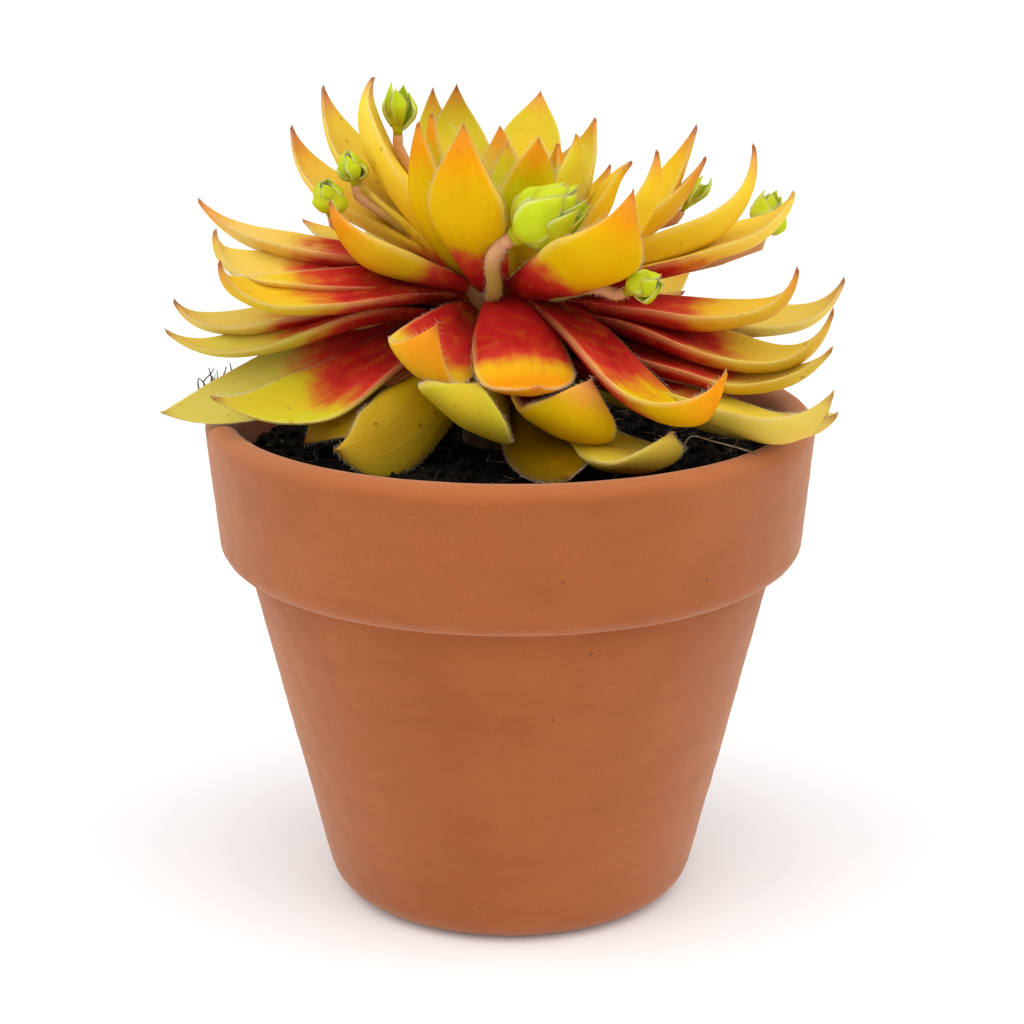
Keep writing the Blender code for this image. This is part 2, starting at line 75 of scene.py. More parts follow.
CROWN = [
    Leaf("crown_left_1", 152, 102, 39.5, 24.5, (43, 86), (0.4, 0.35), 11.5),
    Leaf("crown_left_2", 155, 102, 33, 31.5, (47, 88), (0.4, 0.35), 13.5, 3),
    Leaf("crown_left_3", 172, 104.5, 21.5, 31.5, (50, 125), (0.35, 0.3), 13, 12),
    Leaf("crown_left_4", 204, 101.5, 28, 17, (35, 83), (0.4, 0.4), 12.5, 10),
    Leaf("crown_front_1", 252, 103, 18, 28.5, (44, 111), (0.45, 0.45), 12.5),
    Leaf("crown_front_2", 292, 100.5, 31, 24, (38, 113), (0.5, 0.5), 14.5, -22),
    Leaf("crown_back_1", 110, 103.5, 21.5, 29.5, (53, 122), (0.4, 0.35), 10.5),
    Leaf("crown_back_2", 75, 106, 25.5, 25.5, (63, 60), (0.4, 0.35), 12),
    Leaf("crown_back_3", 120, 103.5, 22.5, 29, (63, 116), (0.4, 0.35), 9),
    Leaf("crown_right_1", 40, 102, 23.5, 18.5, (41, 71), (0.4, 0.35), 8),
    Leaf("crown_right_2", 2, 105.5, 21, 17.5, (19, 37), (0.45, 0.3), 8),
    Leaf("crown_right_3", 335, 103.5, 26.5, 23, (15, 98), (0.4, 0.35), 11),
    Leaf("crown_right_4", 20, 102.5, 34, 25, (13, 71), (0.45, 0.4), 11),
    Leaf("crown_right_5", 5, 102.5, 34, 21, (24, 61), (0.4, 0.35), 9.5, -16),
    Leaf("crown_right_6", 348, 101, 39.5, 26, (38, 99), (0.45, 0.45), 12, -12),
    Leaf("crown_right_7", 358, 98, 46.5, 21, (33, 83), (0.45, 0.25), 12, 4),
]
HEART = [
    Leaf("heart_1", 268, 104, 4, 25.5, (80, 90), (0.4, 0.35), 8.5),
    Leaf("heart_2", 279, 104, 6, 23, (70, 100), (0.4, 0.35), 7.5),
    Leaf("heart_3", 215, 105, 15.5, 25.5, (39, 98), (0.4, 0.35), 9.5),
    Leaf("heart_4", 190, 108.5, 11, 22.5, (66, 91), (0.4, 0.35), 6.5),
    Leaf("heart_5", 297, 104.5, 13, 24, (69, 78), (0.4, 0.35), 10.5),
    Leaf("heart_6", 20, 110.5, 9.5, 15, (54, 93), (0.4, 0.35), 6.5),
    Leaf("heart_7", 30, 106.5, 17.5, 22.5, (41, 81), (0.4, 0.35), 9.5),
    Leaf("heart_8", 340, 108, 12.5, 20, (56, 91), (0.4, 0.35), 9.5),
]
SKIRT = [
    Leaf("left_1", 177, 99.5, 49, 17.5, (38, 57), (0.45, 0.35), 11.5, -2),
    Leaf("left_2", 186, 98.5, 45.5, 16, (37, 97), (0.45, 0.35), 12, -16),
    Leaf("left_3", 200, 101, 47, 10, (31, 85), (0.35, 0.35), 12.5, -16),
    Leaf("left_4", 178, 100, 53.5, 0.5, (28, 67), (0.3, 0.3), 11.5, -6),
    Leaf("left_5", 185, 94, 54.5, 3, (53, 44), (0.45, 0.4), 11.5, -8),
    Leaf("left_6", 198, 96, 55.5, -13, (58, 20), (0.2, 0.3), 14.5, -29, 4, -8, -0.5, 0.56, 2.2),
    Leaf("left_7", 208, 99, 50.5, -9, (-9, 34), (0.3, 0.45), 14, -8, 7, -25, -0.5, 0.62, 1.7),
    Leaf("left_8", 210, 87.5, 34, -9, (-28, -66), (0.45, 0.4), 12, -28, 21, -21, 0, 0.6, 2.3),
    Leaf("left_9", 228, 91.5, 37.5, -9, (-12, 21), (0.45, 0.45), 12.5, -7, -20, -47, 0, 0.6, 2.2),
    Leaf("front_1", 244, 97, 25.5, 5.5, (34, 105), (0.55, 0.95), 14, -21, -25, 27, -0.5, 0.63, 2.2),
    Leaf("front_2", 265, 95.5, 34.5, -0.5, (-45, 114), (0.6, 0.3), 16.5, -23, -8, 0, 0, 0.63, 2.7),
    Leaf("front_3", 278, 101, 40, -5.5, (-3, 25), (0.4, 0.45), 15.8, 0, 0, 0, 0, 0.6, 1.8),
    Leaf("front_4", 292, 93, 34, 2.5, (-14, 101), (0.6, 0.55), 15, -29, 11, -16, 1.5, 0.67, 2.9),
    Leaf("front_5", 285, 85.5, 40.5, -4.5, (-5, 13), (0.35, 0.3), 13.5, -5, -16, 44, 1, 0.55, 1.7),
    Leaf("front_6", 307, 89, 43.5, -1.5, (-22, 77), (0.7, 0.25), 15, -14, 10, 0, 0.5, 0.62, 2.4),
    Leaf("front_7", 321, 101.5, 46.5, -6, (15, 98), (0.25, 0.6), 15.5, -34, 29, -18, -1.5, 0.65, 1.8),
    Leaf("right_1", 342, 100.5, 48.5, 8.5, (9, 87), (0.35, 0.35), 12, 2),
    Leaf("right_2", 6, 97, 56.5, 6.5, (20, 76), (0.35, 0.35), 12, 6),
    Leaf("right_3", 340, 96.5, 55, 7, (34, 74), (0.4, 0.5), 12.5, 6),
    Leaf("right_4", 337, 92.5, 56, 5.5, (18, 54), (0.45, 0.4), 12, 8),
    Leaf("right_5", 325, 93.5, 61, 0.5, (0, 67), (0.6, 0.35), 14, 4, -9, -11, -0.5, 0.6, 1.8),
    Leaf("right_6", 326, 89.5, 61.5, 1, (-4, 48), (0.3, 0.35), 11.5, 19, -11, -11, 2.5, 0.73, 2.8),
    Leaf("back_left", 140, 98.5, 45, 10.5, (30, 32), (0.4, 0.25), 10),
    Leaf("back_right", 30, 95.5, 36, 3, (8, 10), (0.4, 0.35), 8),
]

# The even rows at the back: first is the first leaf's azimuth and step the angle to the next one
BackRow = namedtuple("BackRow", "name first step count root reach lift slopes")
BACK_ROWS = [
    BackRow("back_low", 44.5, 18.3, 6, 95.5, 47.5, 3.5, (5, 50)),
    BackRow("back_mid", 52.5, 18.7, 5, 100.4, 41, 10, (18, 62)),
    BackRow("back_high", 64, 26.4, 3, 104.7, 27, 17.5, (40, 80)),
]
BACK_WIDTH = 11.5
BACK_LEAN = 7
BUD_LEAVES = 7
GOLDEN_ANGLE = 137.5

# The tint of each tier, and of the leaves that differ from theirs; a third value below 0 paints sunlight on
# leaves that lie in shade, and above 0 darkens a leaf with olive that is partly painted shade
TIER_TINTS = {
    "crown_left": Tint(0.5, 0.2, -0.7, 0.15, 0.15, 0.1, 0.15, 0.8, 0.6),
    "crown_front": Tint(0.15, 0, 0, 0.2, 0.3, 0.22, 0.3, 0.2),
    "crown_back": Tint(0.5, 0.12, 0, 0.15, 0, 0.08, 0.15, 0.6),
    "crown_right": Tint(0.4, 0.08, -0.6, 0.2, 0.15, 0.12, 0.15, 0.6),
    "heart": Tint(0.6, 0.05, 0, 0, 0, 0.22, 0.35, 0.2),
    "left": Tint(0.4, 0.35, 0, 0.52, 0.5, 0.06, 0.15, 0.4, 0.5),
    "front": Tint(0.2, 0.1, 0, 0.5, 0.3, 0.2, 0.15, 0.2, 0.4),
    "right": Tint(0.35, 0.35, 0, 0.5, 0.53, 0.06, 0.2, 0.5, 0.6),
    "back": Tint(0.4, 0.3, 0, 0.46, 0.44, 0.08, 0.2, 0.5),
    "bud": Tint(0.85, 0.1, 0, 0, 0, 0.05, 0.4, 0.1),
}
LEAF_TINTS = {
    "crown_left_1": Tint(0.45, 0.35, -0.8, 0.12, 0.24, 0.16, -0.1, 1),
    "crown_left_2": Tint(0.55, 0.25, -0.5, 0.18, 0.2, 0.08, 0, 0.9, 0.6),
    "crown_left_3": Tint(0.65, 0.3, -0.9, 0.12, 0, 0.05, 0, 0.9, 0.8),
    "crown_left_4": Tint(0.15, 0.05, 0, 0.25, 0.36, 0.24, 0.15, 0.3),
    "crown_front_2": Tint(0.25, 0, 0, 0.25, 0.41, 0.2, 0.2, 0.2),
    "crown_right_5": Tint(0.25, 0.15, -0.2, 0.2, 0.15, 0.18, 0.25, 0.9),
    "crown_right_6": Tint(0.4, 0.15, -0.6, 0.2, 0.2, 0.06, 0.15, 0.8),
    "crown_right_7": Tint(0.9, 0.35, -0.8, 0.3, 0.52, 0, 0, 0.1),
    "heart_1": Tint(0.55, 0.25, 0, 0, 0, 0.18, 0.35, 0.2),
    "heart_2": Tint(0.85, 0.05, 0, 0, 0, 0.08, 0.15, 0.2),
    "heart_3": Tint(0.35, 0, 0, 0, 0.1, 0.24, 0.35, 0.2),
    "heart_5": Tint(0.75, 0, 0, 0, 0, 0.24, 0.15, 0.1),
    "heart_7": Tint(0.85, 0.2, -0.4, 0, 0, 0.12, 0.15, 0.3),
    "heart_8": Tint(0.9, 0.1, -0.4, 0, 0, 0.08, 0.3, 0.2),
    "left_1": Tint(0.15, 0.6, -0.2, 0.52, 0.54, 0.12, 0.08, 0.2, 0.3),
    "left_2": Tint(0.4, 0.45, -0.3, 0.53, 0.53, 0.04, 0.12, 0.3, 0.4),
    "left_3": Tint(0.35, 0.12, 0, 0.55, 0.52, 0.08, 0.12, 0.5, 0.6),
    "left_4": Tint(0.5, 0.5, -0.2, 0.54, 0.62, 0.04, 0.1, 0.5, 0.5),
    "left_5": Tint(0.7, 0.35, 0, 0.57, 0.5, 0, 0.2, 0.3, 0.6),
    "left_6": Tint(1, 0.45, 0.15, 0.57, 0.4, 0, 0.25, 0, 0.6),
    "left_7": Tint(0.7, 0.1, 0, 0.6, 0.45, 0, 0.22, 0.3, 0.8),
    "left_8": Tint(0.1, 0.05, 0.45, 0.4, 0.3, 0, 0, 0.3, 0.8),
    "left_9": Tint(0.3, 0.1, 0.4, 0.12, 0.1, 0, 0.3, 0.1, 1),
    "front_1": Tint(0.2, 0.1, 0, 0.52, 0.3, 0.22, 0.15, 0.1, 0.2),
    "front_2": Tint(0.6, 0.1, 0.15, 0.25, 0, 0, 0.1, 0.1, 0.5),
    "front_3": Tint(0.2, 0.05, 0, 0.59, 0, 0.34, -0.3, 0, 0.1),
    "front_4": Tint(0.3, 0, -0.2, 0.8, 0, 0.1, 0.1, 0.6, 0.2),
    "front_5": Tint(0.15, 0, 1.1, 0.15, 0, 0, -0.3, 0.1),
    "front_6": Tint(0.6, 0.25, 0, 0.1, 0, 0, 0.1, 0.2),
    "front_7": Tint(0.3, 0, 0, 0.55, 0.62, 0.22, 0.3, 0, 0.3),
    "right_1": Tint(0.25, 0.2, 0, 0.51, 0.53, 0.12, 0.2, 0.5, 0.4),
    "right_2": Tint(0.45, 0.45, -0.4, 0.5, 0.56, 0.04, 0.15, 0.6, 0.7),
    "right_3": Tint(0.4, 0.25, 0, 0.55, 0.58, 0.05, 0.38, 0.4, 0.8),
    "right_4": Tint(0.45, 0.3, 0, 0.58, 0.58, 0, 0.25, 0.3, 1),
    "right_5": Tint(0.55, 0.4, 0, 0.36, 0.34, 0, 0.2, 0.2, 0.5),
    "right_6": Tint(0.6, 0.5, 0.05, 0.15, 0, 0, 0.25, 0.2),
}

# The plump leaves: how far their edges rise, as a share of half their width, and how far their face swells,
# as a share of their thickness
PLUMPNESS = {
    "crown_front_1": (0.22, 0.4),
    "crown_front_2": (0.2, 0.4),
    "left_6": (0.18, 0.4),
    "left_7": (0.15, 0.45),
    "left_8": (0.05, 0.7),
    "left_9": (0, 0.95),
    "front_1": (0.15, 0.45),
    "front_2": (0, 0.9),
    "front_3": (0.02, 0.85),
    "front_4": (0.05, 0.8),
    "front_5": (0, 0.95),
    "front_6": (0.08, 0.7),
    "front_7": (0.15, 0.45),
}

# Leaves that another one lies on: where along them they are pressed down, and how far in millimetres
TUCKS = {"left_6": (0.36, 2.6), "right_5": (0.24, 1.8)}
TUCK_SPREAD = 0.14

# One hair in about five is longer than the others
LONG_HAIR_SHARE = 0.22
LONG_HAIR = 1.7

ROOT_RADIUS = 5.0
LEAF_THICKNESS = 3.2
LEAF_CUP = 0.3
LEAF_BULGE = 0.3
ROOT_WIDTH = 0.5
STEM_X = -1.5
CORE_PROFILE = ((6.6, 81.3), (8.4, 87.0), (8.2, 97.0), (7.6, 104.0), (5.4, 109.0), (2.6, 111.4))

# The young offsets: foot is where each sits, axis the way it grows, height and radius its size, and open
# how far its leaf tips stand apart. blade is a leaf's width against the radius and steep the slope at which
# its outer leaves start.
Offset = namedtuple("Offset", "name foot axis height radius open blade leaves turn steep", defaults=(5,))
OFFSETS = [
    Offset("offset_1", (-18.5, 12.0, 126.6), (0, 0, 1), 7.6, 2.7, 0.5, 1.3, 5, 200, 48),
    Offset("offset_2", (-25.3, 3.2, 119.6), (-0.2, -0.1, 1), 5.0, 2.2, 0.1, 1.4, 7, 90),
    Offset("offset_3", (-29.1, 2.0, 115.0), (-0.15, -0.4, 0.9), 5.6, 3.1, 0.15, 1.4, 7, 0),
    Offset("offset_4", (1.1, -16.65, 114.0), (0.8, -0.1, 0.5), 12.6, 5.0, 0.6, 1.35, 13, 40),
    Offset("offset_5", (41.2, 6.4, 111.0), (0.2, -0.1, 1), 6.8, 3.2, 0.6, 1.4, 7, 270),
    Offset("offset_6", (18.6, -20.2, 106.1), (0.8, -0.4, 0.35), 5.6, 2.8, 0.1, 1.5, 7, 20),
    Offset("offset_7", (29.0, 13.0, 113.6), (0.6, 0, 0.8), 6.5, 1.4, 0.2, 1.8, 3, 0),
]
OFFSET_THICKNESS = 1.0
OFFSET_STALK = 1.0
OFFSET_LEAN = 8
OFFSET_RINGS = 30
OFFSET_AROUND = 18
OFFSET_CORE_AROUND = 24
OFFSET_HAIR_SPACING = 0.1
OFFSET_HAIR_LENGTH = 0.42
FINE_HAIR_RADIUS = 0.016
GAP = 0.3

# The runners: each one's route from the axis to its offset's foot, and its radius. The fine runners are
# slimmer than the solid ones, RUNNER_HAIRS is the number of hairs for a radius of 1 mm, and RUNNER_END the
# length of the straight end that runs into the offset.
Stolon = namedtuple("Stolon", "offset route radius")
RUNNER_SLIMMING = 0.75
RUNNER_HAIRS = 500
RUNNER_SIDES = 16
RUNNER_STEPS = 10
RUNNER_END = 1.8
STOLONS = [
    Stolon("offset_1", ((-4, 5, 106), (-10, 9, 112), (-15.8, 11.5, 119)), 1.1),
    Stolon("offset_2", ((-5, 2, 105), (-13, 3, 109), (-21.5, 3.2, 114.5)), 0.9),
    Stolon("offset_3", ((-6, 0, 104), (-15, 0.5, 106), (-25, 2.5, 110)), 1.1),
    Stolon("offset_4", ((-3, -6, 102), (-2.5, -13, 105), (-2.8, -16.3, 110)), 1.6),
    Stolon("offset_5", ((5, 2, 103), (15, 4, 104), (30, 6, 105)), 1.3),
    Stolon("offset_6", ((2, -6, 102), (8, -13, 104), (13, -18, 106)), 1.2),
    Stolon("offset_7", ((4, 4, 104), (14, 10, 106.5), (22, 13, 109.5)), 0.9),
]

# Pot
RIM_RADIUS = 50.0
POT_HEIGHT = 82.6
BAND_BOTTOM = 58.4
BAND_RADIUS = 48.3
BAND_EDGE = 3.5
BODY_TOP_RADIUS = 43.8
FOOT_RADIUS = 30.1
FOOT_EDGE = 6.5
# How far round, in degrees, the foot's edge turns before it meets the flat ring that the pot stands on
FOOT_REST = 75
RIM_WALL = 5.1
INNER_FOOT_RADIUS = 25.6
FLOOR = 6.0
DRAIN_RADIUS = 5.0
# The heights between which the lip's paler top fades in
LIP_PALE_TOP = (79.5, 82.2)

# Soil
SOIL_EDGE = 75.4
SOIL_TOP = 77.2
STEM_HOLE_DEPTH = 16.0
STEM_HOLE_RADIUS = 7.9
STEM_RADIUS = 6.4
STEM_TOP = 81.0
SOIL_AROUND = 220
STEM_AROUND = 72
AXIS_AROUND = 64
GRIT_EVERY = 37
LUMP_EVERY = 6

# The tuft of dry fibres over the lip at the left, and the thin pale root that arches to the lip at the right
DRY_FIBRES = 26
DRY_FIBRES_PLACE = (-46.0, 2.0, 85.0)
DRY_FIBRES_SPREAD = (2.6, 1.2, 0.5)
PALE_ROOT = ((26.0, -30.5, 82.0), (27.4, -30.0, 85.3), (31.0, -30.0, 84.6), (36.9, -30.0, 82.9),
             (40.5, -28.5, 80.6))
PALE_ROOT_RADIUS = 0.13


def smooth(value, low, high):
    """0 below low, 1 above high and an S-curve between."""
    share = np.clip((value - low) / (high - low), 0.0, 1.0)
    return share * share * (3.0 - 2.0 * share)


def ripple(points, size, seed, octaves=1):
    """Smooth random waves of about that size, between -1 and 1, at each of the points."""
    rng = np.random.default_rng(seed)
    total = np.zeros(len(points))
    strength = 1.0
    for _ in range(octaves):
        for _ in range(7):
            way = rng.normal(size=3)
            way /= np.linalg.norm(way)
            total += strength * np.sin(points @ way * 2 * math.pi / size * rng.uniform(0.6, 1.5)
                                       + rng.uniform(0, 2 * math.pi)) / 3.5
        size *= 0.45
        strength *= 0.55
    return total


def mesh_piece(name, verts, faces, materials, slots=None, fields=None, flat=False):
    """A mesh object in the row's frame, from millimetres; fields are its vertex attributes."""
    mesh = bpy.data.meshes.new(name)
    mesh.from_pydata((np.asarray(verts) * MM).tolist(), [], faces)
    for look in materials:
        mesh.materials.append(look)
    if slots is not None:
        mesh.polygons.foreach_set("material_index", np.asarray(slots, dtype=np.int32))
    for field, values in (fields or {}).items():
        attribute = mesh.attributes.new(field, "FLOAT_VECTOR", "POINT")
        attribute.data.foreach_set("vector", np.asarray(values, dtype=np.float32).ravel())
    mesh.update()
    if not flat:
        mesh.shade_smooth()
    piece = bpy.data.objects.new(name, mesh)
    bpy.context.scene.collection.objects.link(piece)
    return piece


def dress(piece, slot, *nodes):
    """Makes the piece ride on the row's one body and stand for the nodes it replaces."""
    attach(piece, "root")
    if nodes:
        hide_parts(*nodes)


def tier_of(name):
    """The tier a leaf belongs to, from its name."""
    for tier in sorted(TIER_TINTS, key=len, reverse=True):
        if name.startswith(tier):
            return tier
    raise ValueError(f"{name} is in no tier")


def tint_of(name):
    """A leaf's own tint, or else its tier's."""
    return LEAF_TINTS.get(name, TIER_TINTS[tier_of(name)])


def back_leaves():
    """The leaves of the even rows at the back."""
    leaves = []
    for row in BACK_ROWS:
        for i in range(row.count):
            swing = (-1) ** i
            leaves.append(Leaf(f"{row.name}_{i + 1}", row.first + i * row.step, row.root + 0.7 * swing,
                               row.reach - 1.2 * swing + 0.3 * i, row.lift + 1.5 * swing, row.slopes,
                               (0.4, 0.35), BACK_WIDTH, BACK_LEAN))
    return leaves


def bud_leaves():
    """The young leaves close together in the rosette's heart."""
    leaves = []
    for i in range(BUD_LEAVES):
        layer = i / (BUD_LEAVES - 1)
        leaves.append(Leaf(f"bud_{i + 1}", 60 + GOLDEN_ANGLE * i, 106.5 + 3.0 * layer, 8.6 - 4.6 * layer,
                           14.0 - 1.5 * layer, (70, 97), (0.4, 0.35), 7.2 - 1.6 * layer, 6))
    return leaves


def offset_leaves(offset):
    """The leaves of one young offset, the outer ones first, turning by the golden angle."""
    leaves = []
    for i in range(offset.leaves):
        layer = i / (offset.leaves - 1)
        reach = offset.radius * (0.1 + offset.open * (1 - 0.8 * layer))
        root = offset.height * 0.25 * layer
        tip = offset.height * (0.8 + 0.2 * layer)
        slopes = (offset.steep + (70 - offset.steep) * layer, 135 - 50 * offset.open)
        name = f"{offset.name}_{i + 1}"
        leaves.append(Leaf(name, offset.turn + GOLDEN_ANGLE * i, root, reach, tip - root, slopes,
                           (0.65 - 0.3 * layer, 0.5), offset.blade * offset.radius * (1 - 0.3 * layer),
                           OFFSET_LEAN))
    return leaves


def leaf_line(leaf, along, root_radius):
    """Points on the leaf's middle line at the given fractions of its length, and the way it spreads."""
    azimuth = math.radians(leaf.azimuth)
    lean = math.radians(leaf.lean)
    out = np.array((math.cos(azimuth), math.sin(azimuth), 0.0))
    side = np.array((-math.sin(azimuth), math.cos(azimuth), 0.0))
    tilted_side = side * math.cos(lean) + UP * math.sin(lean)
    tilted_up = UP * math.cos(lean) - side * math.sin(lean)
    tip = np.array((leaf.reach - root_radius, leaf.lift))
    chord = np.linalg.norm(tip)
    start, end = (math.radians(angle) for angle in leaf.slopes)
    first = chord * leaf.pulls[0] * np.array((math.cos(start), math.sin(start)))
    last = tip - chord * leaf.pulls[1] * np.array((math.cos(end), math.sin(end)))
    t = np.asarray(along)[:, None]
    flat = 3 * (1 - t) ** 2 * t * first + 3 * (1 - t) * t * t * last + t ** 3 * tip
    points = out * root_radius + UP * leaf.root + flat[:, :1] * out + flat[:, 1:] * tilted_up
    points = points + tilted_side * (leaf.bend * np.sin(math.pi * t))
    return points, tilted_side


def width_at(along, widest, full):
    """Half the blade's width, as a share of the widest half, with a fine drawn-out point."""
    swelling = ROOT_WIDTH + (1 - ROOT_WIDTH) * np.sin(math.pi / 2 * np.clip(along / widest, 0, 1)) ** 1.3
    past = np.clip((along - widest) / (0.985 - widest), 0, 1)
    narrowing = 1 - past ** full
    narrowing -= 0.10 * smooth(along, 0.80, 0.93) * narrowing
    point = 0.05 * np.sqrt(np.clip(1 - along, 0, 1) / 0.1).clip(0, 1)
    return np.where(along < widest, swelling, np.maximum(narrowing, 0) * 0.96 + point * 0.8)


def thickness_at(along):
    """The blade's thickness, as a share of the full thickness."""
    swell = 0.75 + 0.25 * np.sin(math.pi * np.minimum(along / 0.7, 1.0))
    thinning = np.clip((along - 0.45) / 0.55, 0, 1) ** 1.6
    return swell * (1.0 - 0.8 * thinning)


Blade = namedtuple("Blade", "points side above ahead half thick")


def blade_frame(leaf, along, thickness, root_radius):
    """The leaf's middle line with the blade's own directions, half widths and thicknesses."""
    points, side = leaf_line(leaf, along, root_radius)
    later = leaf_line(leaf, np.minimum(along + 0.01, 1.0), root_radius)[0]
    before = leaf_line(leaf, np.maximum(along - 0.01, 0.0), root_radius)[0]
    ahead = later - before
    ahead /= np.linalg.norm(ahead, axis=1)[:, None]
    side = side - ahead * (ahead @ side)[:, None]
    side /= np.linalg.norm(side, axis=1)[:, None]
    above = np.cross(ahead, side)
    turn = np.radians(leaf.roll + leaf.twist * along)[:, None]
    side, above = side * np.cos(turn) + above * np.sin(turn), above * np.cos(turn) - side * np.sin(turn)
    half = leaf.width / 2 * width_at(along, leaf.widest, leaf.full)
    if leaf.name in TUCKS:
        where, depth = TUCKS[leaf.name]
        points[:, 2] -= depth * np.exp(-((along - where) / TUCK_SPREAD) ** 2)
    return Blade(points, side, above, ahead, half, thickness * thickness_at(along))


def blade_height(across, under, half, thick, along, cup, bulge):
    """How high the blade's skin lies at a place across it: cupped or plump above, keeled below."""
    rim = cup * half * across * across
    groove = 0.06 * thick * np.exp(-(across / 0.16) ** 2)
    keel = 0.16 * thick * np.exp(-(across / 0.3) ** 2) * smooth(along, 0.35, 0.8)
    round_off = np.clip(1 - across * across, 0, 1)
    top = rim + bulge * thick * round_off ** 0.6 - groove
    bottom = rim - 0.72 * thick * np.sqrt(round_off) - keel
    return np.where(under, bottom, top)


def sleeve_faces(rings, around):
    """Quads from each ring to the next, for rings that turn the other way from a turned surface's."""
    faces = []
    for i in range(rings - 1):
        low = i * around
        high = low + around
        for j in range(around):
            k = (j + 1) % around
            faces.append((low + j, low + k, high + k, high + j))
    return faces


def leaf_mesh(leaf, seed, rings, around, thickness, root_radius):
    """Verts, faces and the place field (along, across, upper) of one finely lofted leaf."""
    along = np.linspace(0.0, 1.0, rings + 1)[:-1]
    blade = blade_frame(leaf, along, thickness, root_radius)
    angle = 2 * math.pi * np.arange(around) / around
    across = np.cos(angle)
    under = angle > math.pi
    t = np.repeat(along, around)
    x = np.tile(across, rings)
    below = np.tile(under, rings)
    points, side, above, _, half, thick = (np.repeat(part, around, axis=0) for part in blade)
    sheet = np.stack((t * 9.0 + seed, np.sign(x) * 3.0 + seed, np.zeros_like(t)), axis=1)
    half = half * (1 + 0.03 * ripple(sheet, 3.0, seed) * smooth(np.abs(x), 0.2, 1.0))
    cup, bulge = PLUMPNESS.get(leaf.name, (LEAF_CUP, LEAF_BULGE))
    height = blade_height(x, below, half, thick, t, cup, bulge)
    surface = np.stack((t * 12.0, x * 2.0, np.zeros_like(t)), axis=1)
    height = height + 0.05 * half * ripple(surface, 4.0, seed + 1) * smooth(t, 0.05, 0.3)
    verts = points + side * (half * x)[:, None] + above * height[:, None]
    tip = leaf_line(leaf, [1.0], root_radius)[0]
    verts = np.vstack((verts, tip))
    level = np.where(np.abs(np.abs(x) - 1) < 1e-6, 0.5, np.where(below, 0.0, 1.0))
    place = np.stack((t, x, level), axis=1)
    place = np.vstack((place, ((1.0, 0.0, 0.5),)))
    faces = [tuple(range(around - 1, -1, -1))] + sleeve_faces(rings, around)
    last = (rings - 1) * around
    point = rings * around
    for j in range(around):
        faces.append((last + j, last + (j + 1) % around, point))
    return verts, faces, place


def hair_mesh(roots, ways, lengths, radius, droop):
    """Verts and faces of fine three-sided hairs that bend as they taper to a point."""
    ways = ways / np.linalg.norm(ways, axis=1)[:, None]
    slanted = UP + 0.3
    first = np.cross(ways, slanted)
    first /= np.linalg.norm(first, axis=1)[:, None]
    second = np.cross(ways, first)
    rows = []
    for share, narrow in ((0.0, 1.0), (0.5, 0.7)):
        centre = roots + ways * (lengths * share)[:, None] + droop * (share * share)
        for k in range(3):
            turn = 2 * math.pi * k / 3
            rows.append(centre + (first * math.cos(turn) + second * math.sin(turn)) * radius * narrow)
    rows.append(roots + ways * lengths[:, None] + droop)
    verts = np.stack(rows, axis=1).reshape(-1, 3)
    pattern = [(2, 1, 0)]
    for k in range(3):
        m = (k + 1) % 3
        pattern += [(k, m, 3 + m), (k, 3 + m, 3 + k), (3 + k, 3 + m, 6)]
    faces = [tuple(7 * i + v for v in face) for i in range(len(roots)) for face in pattern]
    return verts, faces


def margin_hairs(leaf, seed, spacing, length, radius, thickness, root_radius):
    """The pale hairs that fringe both edges of a leaf, longest near its point."""
    rng = np.random.default_rng(seed)
    cup = PLUMPNESS.get(leaf.name, (LEAF_CUP, LEAF_BULGE))[0]
    span = np.linalg.norm(leaf_line(leaf, [1.0], root_radius)[0] - leaf_line(leaf, [0.0], root_radius)[0])
    count = max(int(span * 0.95 / spacing), 6)
    roots, ways, lengths = [], [], []
    for edge in (-1.0, 1.0):
        along = np.clip(np.linspace(0.10, 0.995, count) + rng.uniform(-0.4, 0.4, count) / count, 0.08, 0.995)
        place = blade_frame(leaf, along, thickness, root_radius)
        height = cup * place.half + rng.uniform(-0.12, 0.12, count)
        roots.append(place.points + place.side * (place.half * edge * 0.985)[:, None]
                     + place.above * height[:, None])
        spread = rng.normal(0, 0.28, (count, 3))
        ways.append(place.side * edge + place.ahead * rng.uniform(0.2, 0.9, count)[:, None]
                    + place.above * rng.uniform(-0.1, 0.5, count)[:, None] + spread)
        outgrown = np.where(rng.uniform(0, 1, count) < LONG_HAIR_SHARE, LONG_HAIR, 1.0)
        towards_point = 0.65 + 0.6 * smooth(along, 0.45, 0.95)
        lengths.append(length * rng.uniform(0.5, 1.15, count) * outgrown * towards_point)
    roots = np.vstack(roots)
    ways = np.vstack(ways)
    lengths = np.concatenate(lengths)
    droop = rng.normal(0, 0.12 * length, (len(roots), 3))
    return hair_mesh(roots, ways, lengths, radius, droop)


def ring(radius, height, steps, centre=(0.0, 0.0)):
    """A level ring of points; height is one number or one for each point."""
    angle = 2 * math.pi * np.arange(steps) / steps
    x = centre[0] + radius * np.cos(angle)
    y = centre[1] + radius * np.sin(angle)
    return np.stack((x, y, height + 0 * angle), axis=1)


def ring_faces(rings, steps, closed=False):
    """Quads from each ring to the next, and from the last to the first where the section is closed."""
    faces = []
    for i in range(rings if closed else rings - 1):
        low = i * steps
        high = ((i + 1) % rings) * steps
        for j in range(steps):
            k = (j + 1) % steps
            faces.append((low + j, high + j, high + k, low + k))
    return faces


def cap_faces(rings, steps):
    """Triangles from the first and the last ring to the two points that follow all the rings."""
    faces = []
    last = (rings - 1) * steps
    for j in range(steps):
        k = (j + 1) % steps
        faces.append((rings * steps, j, k))
        faces.append((rings * steps + 1, last + k, last + j))
    return faces


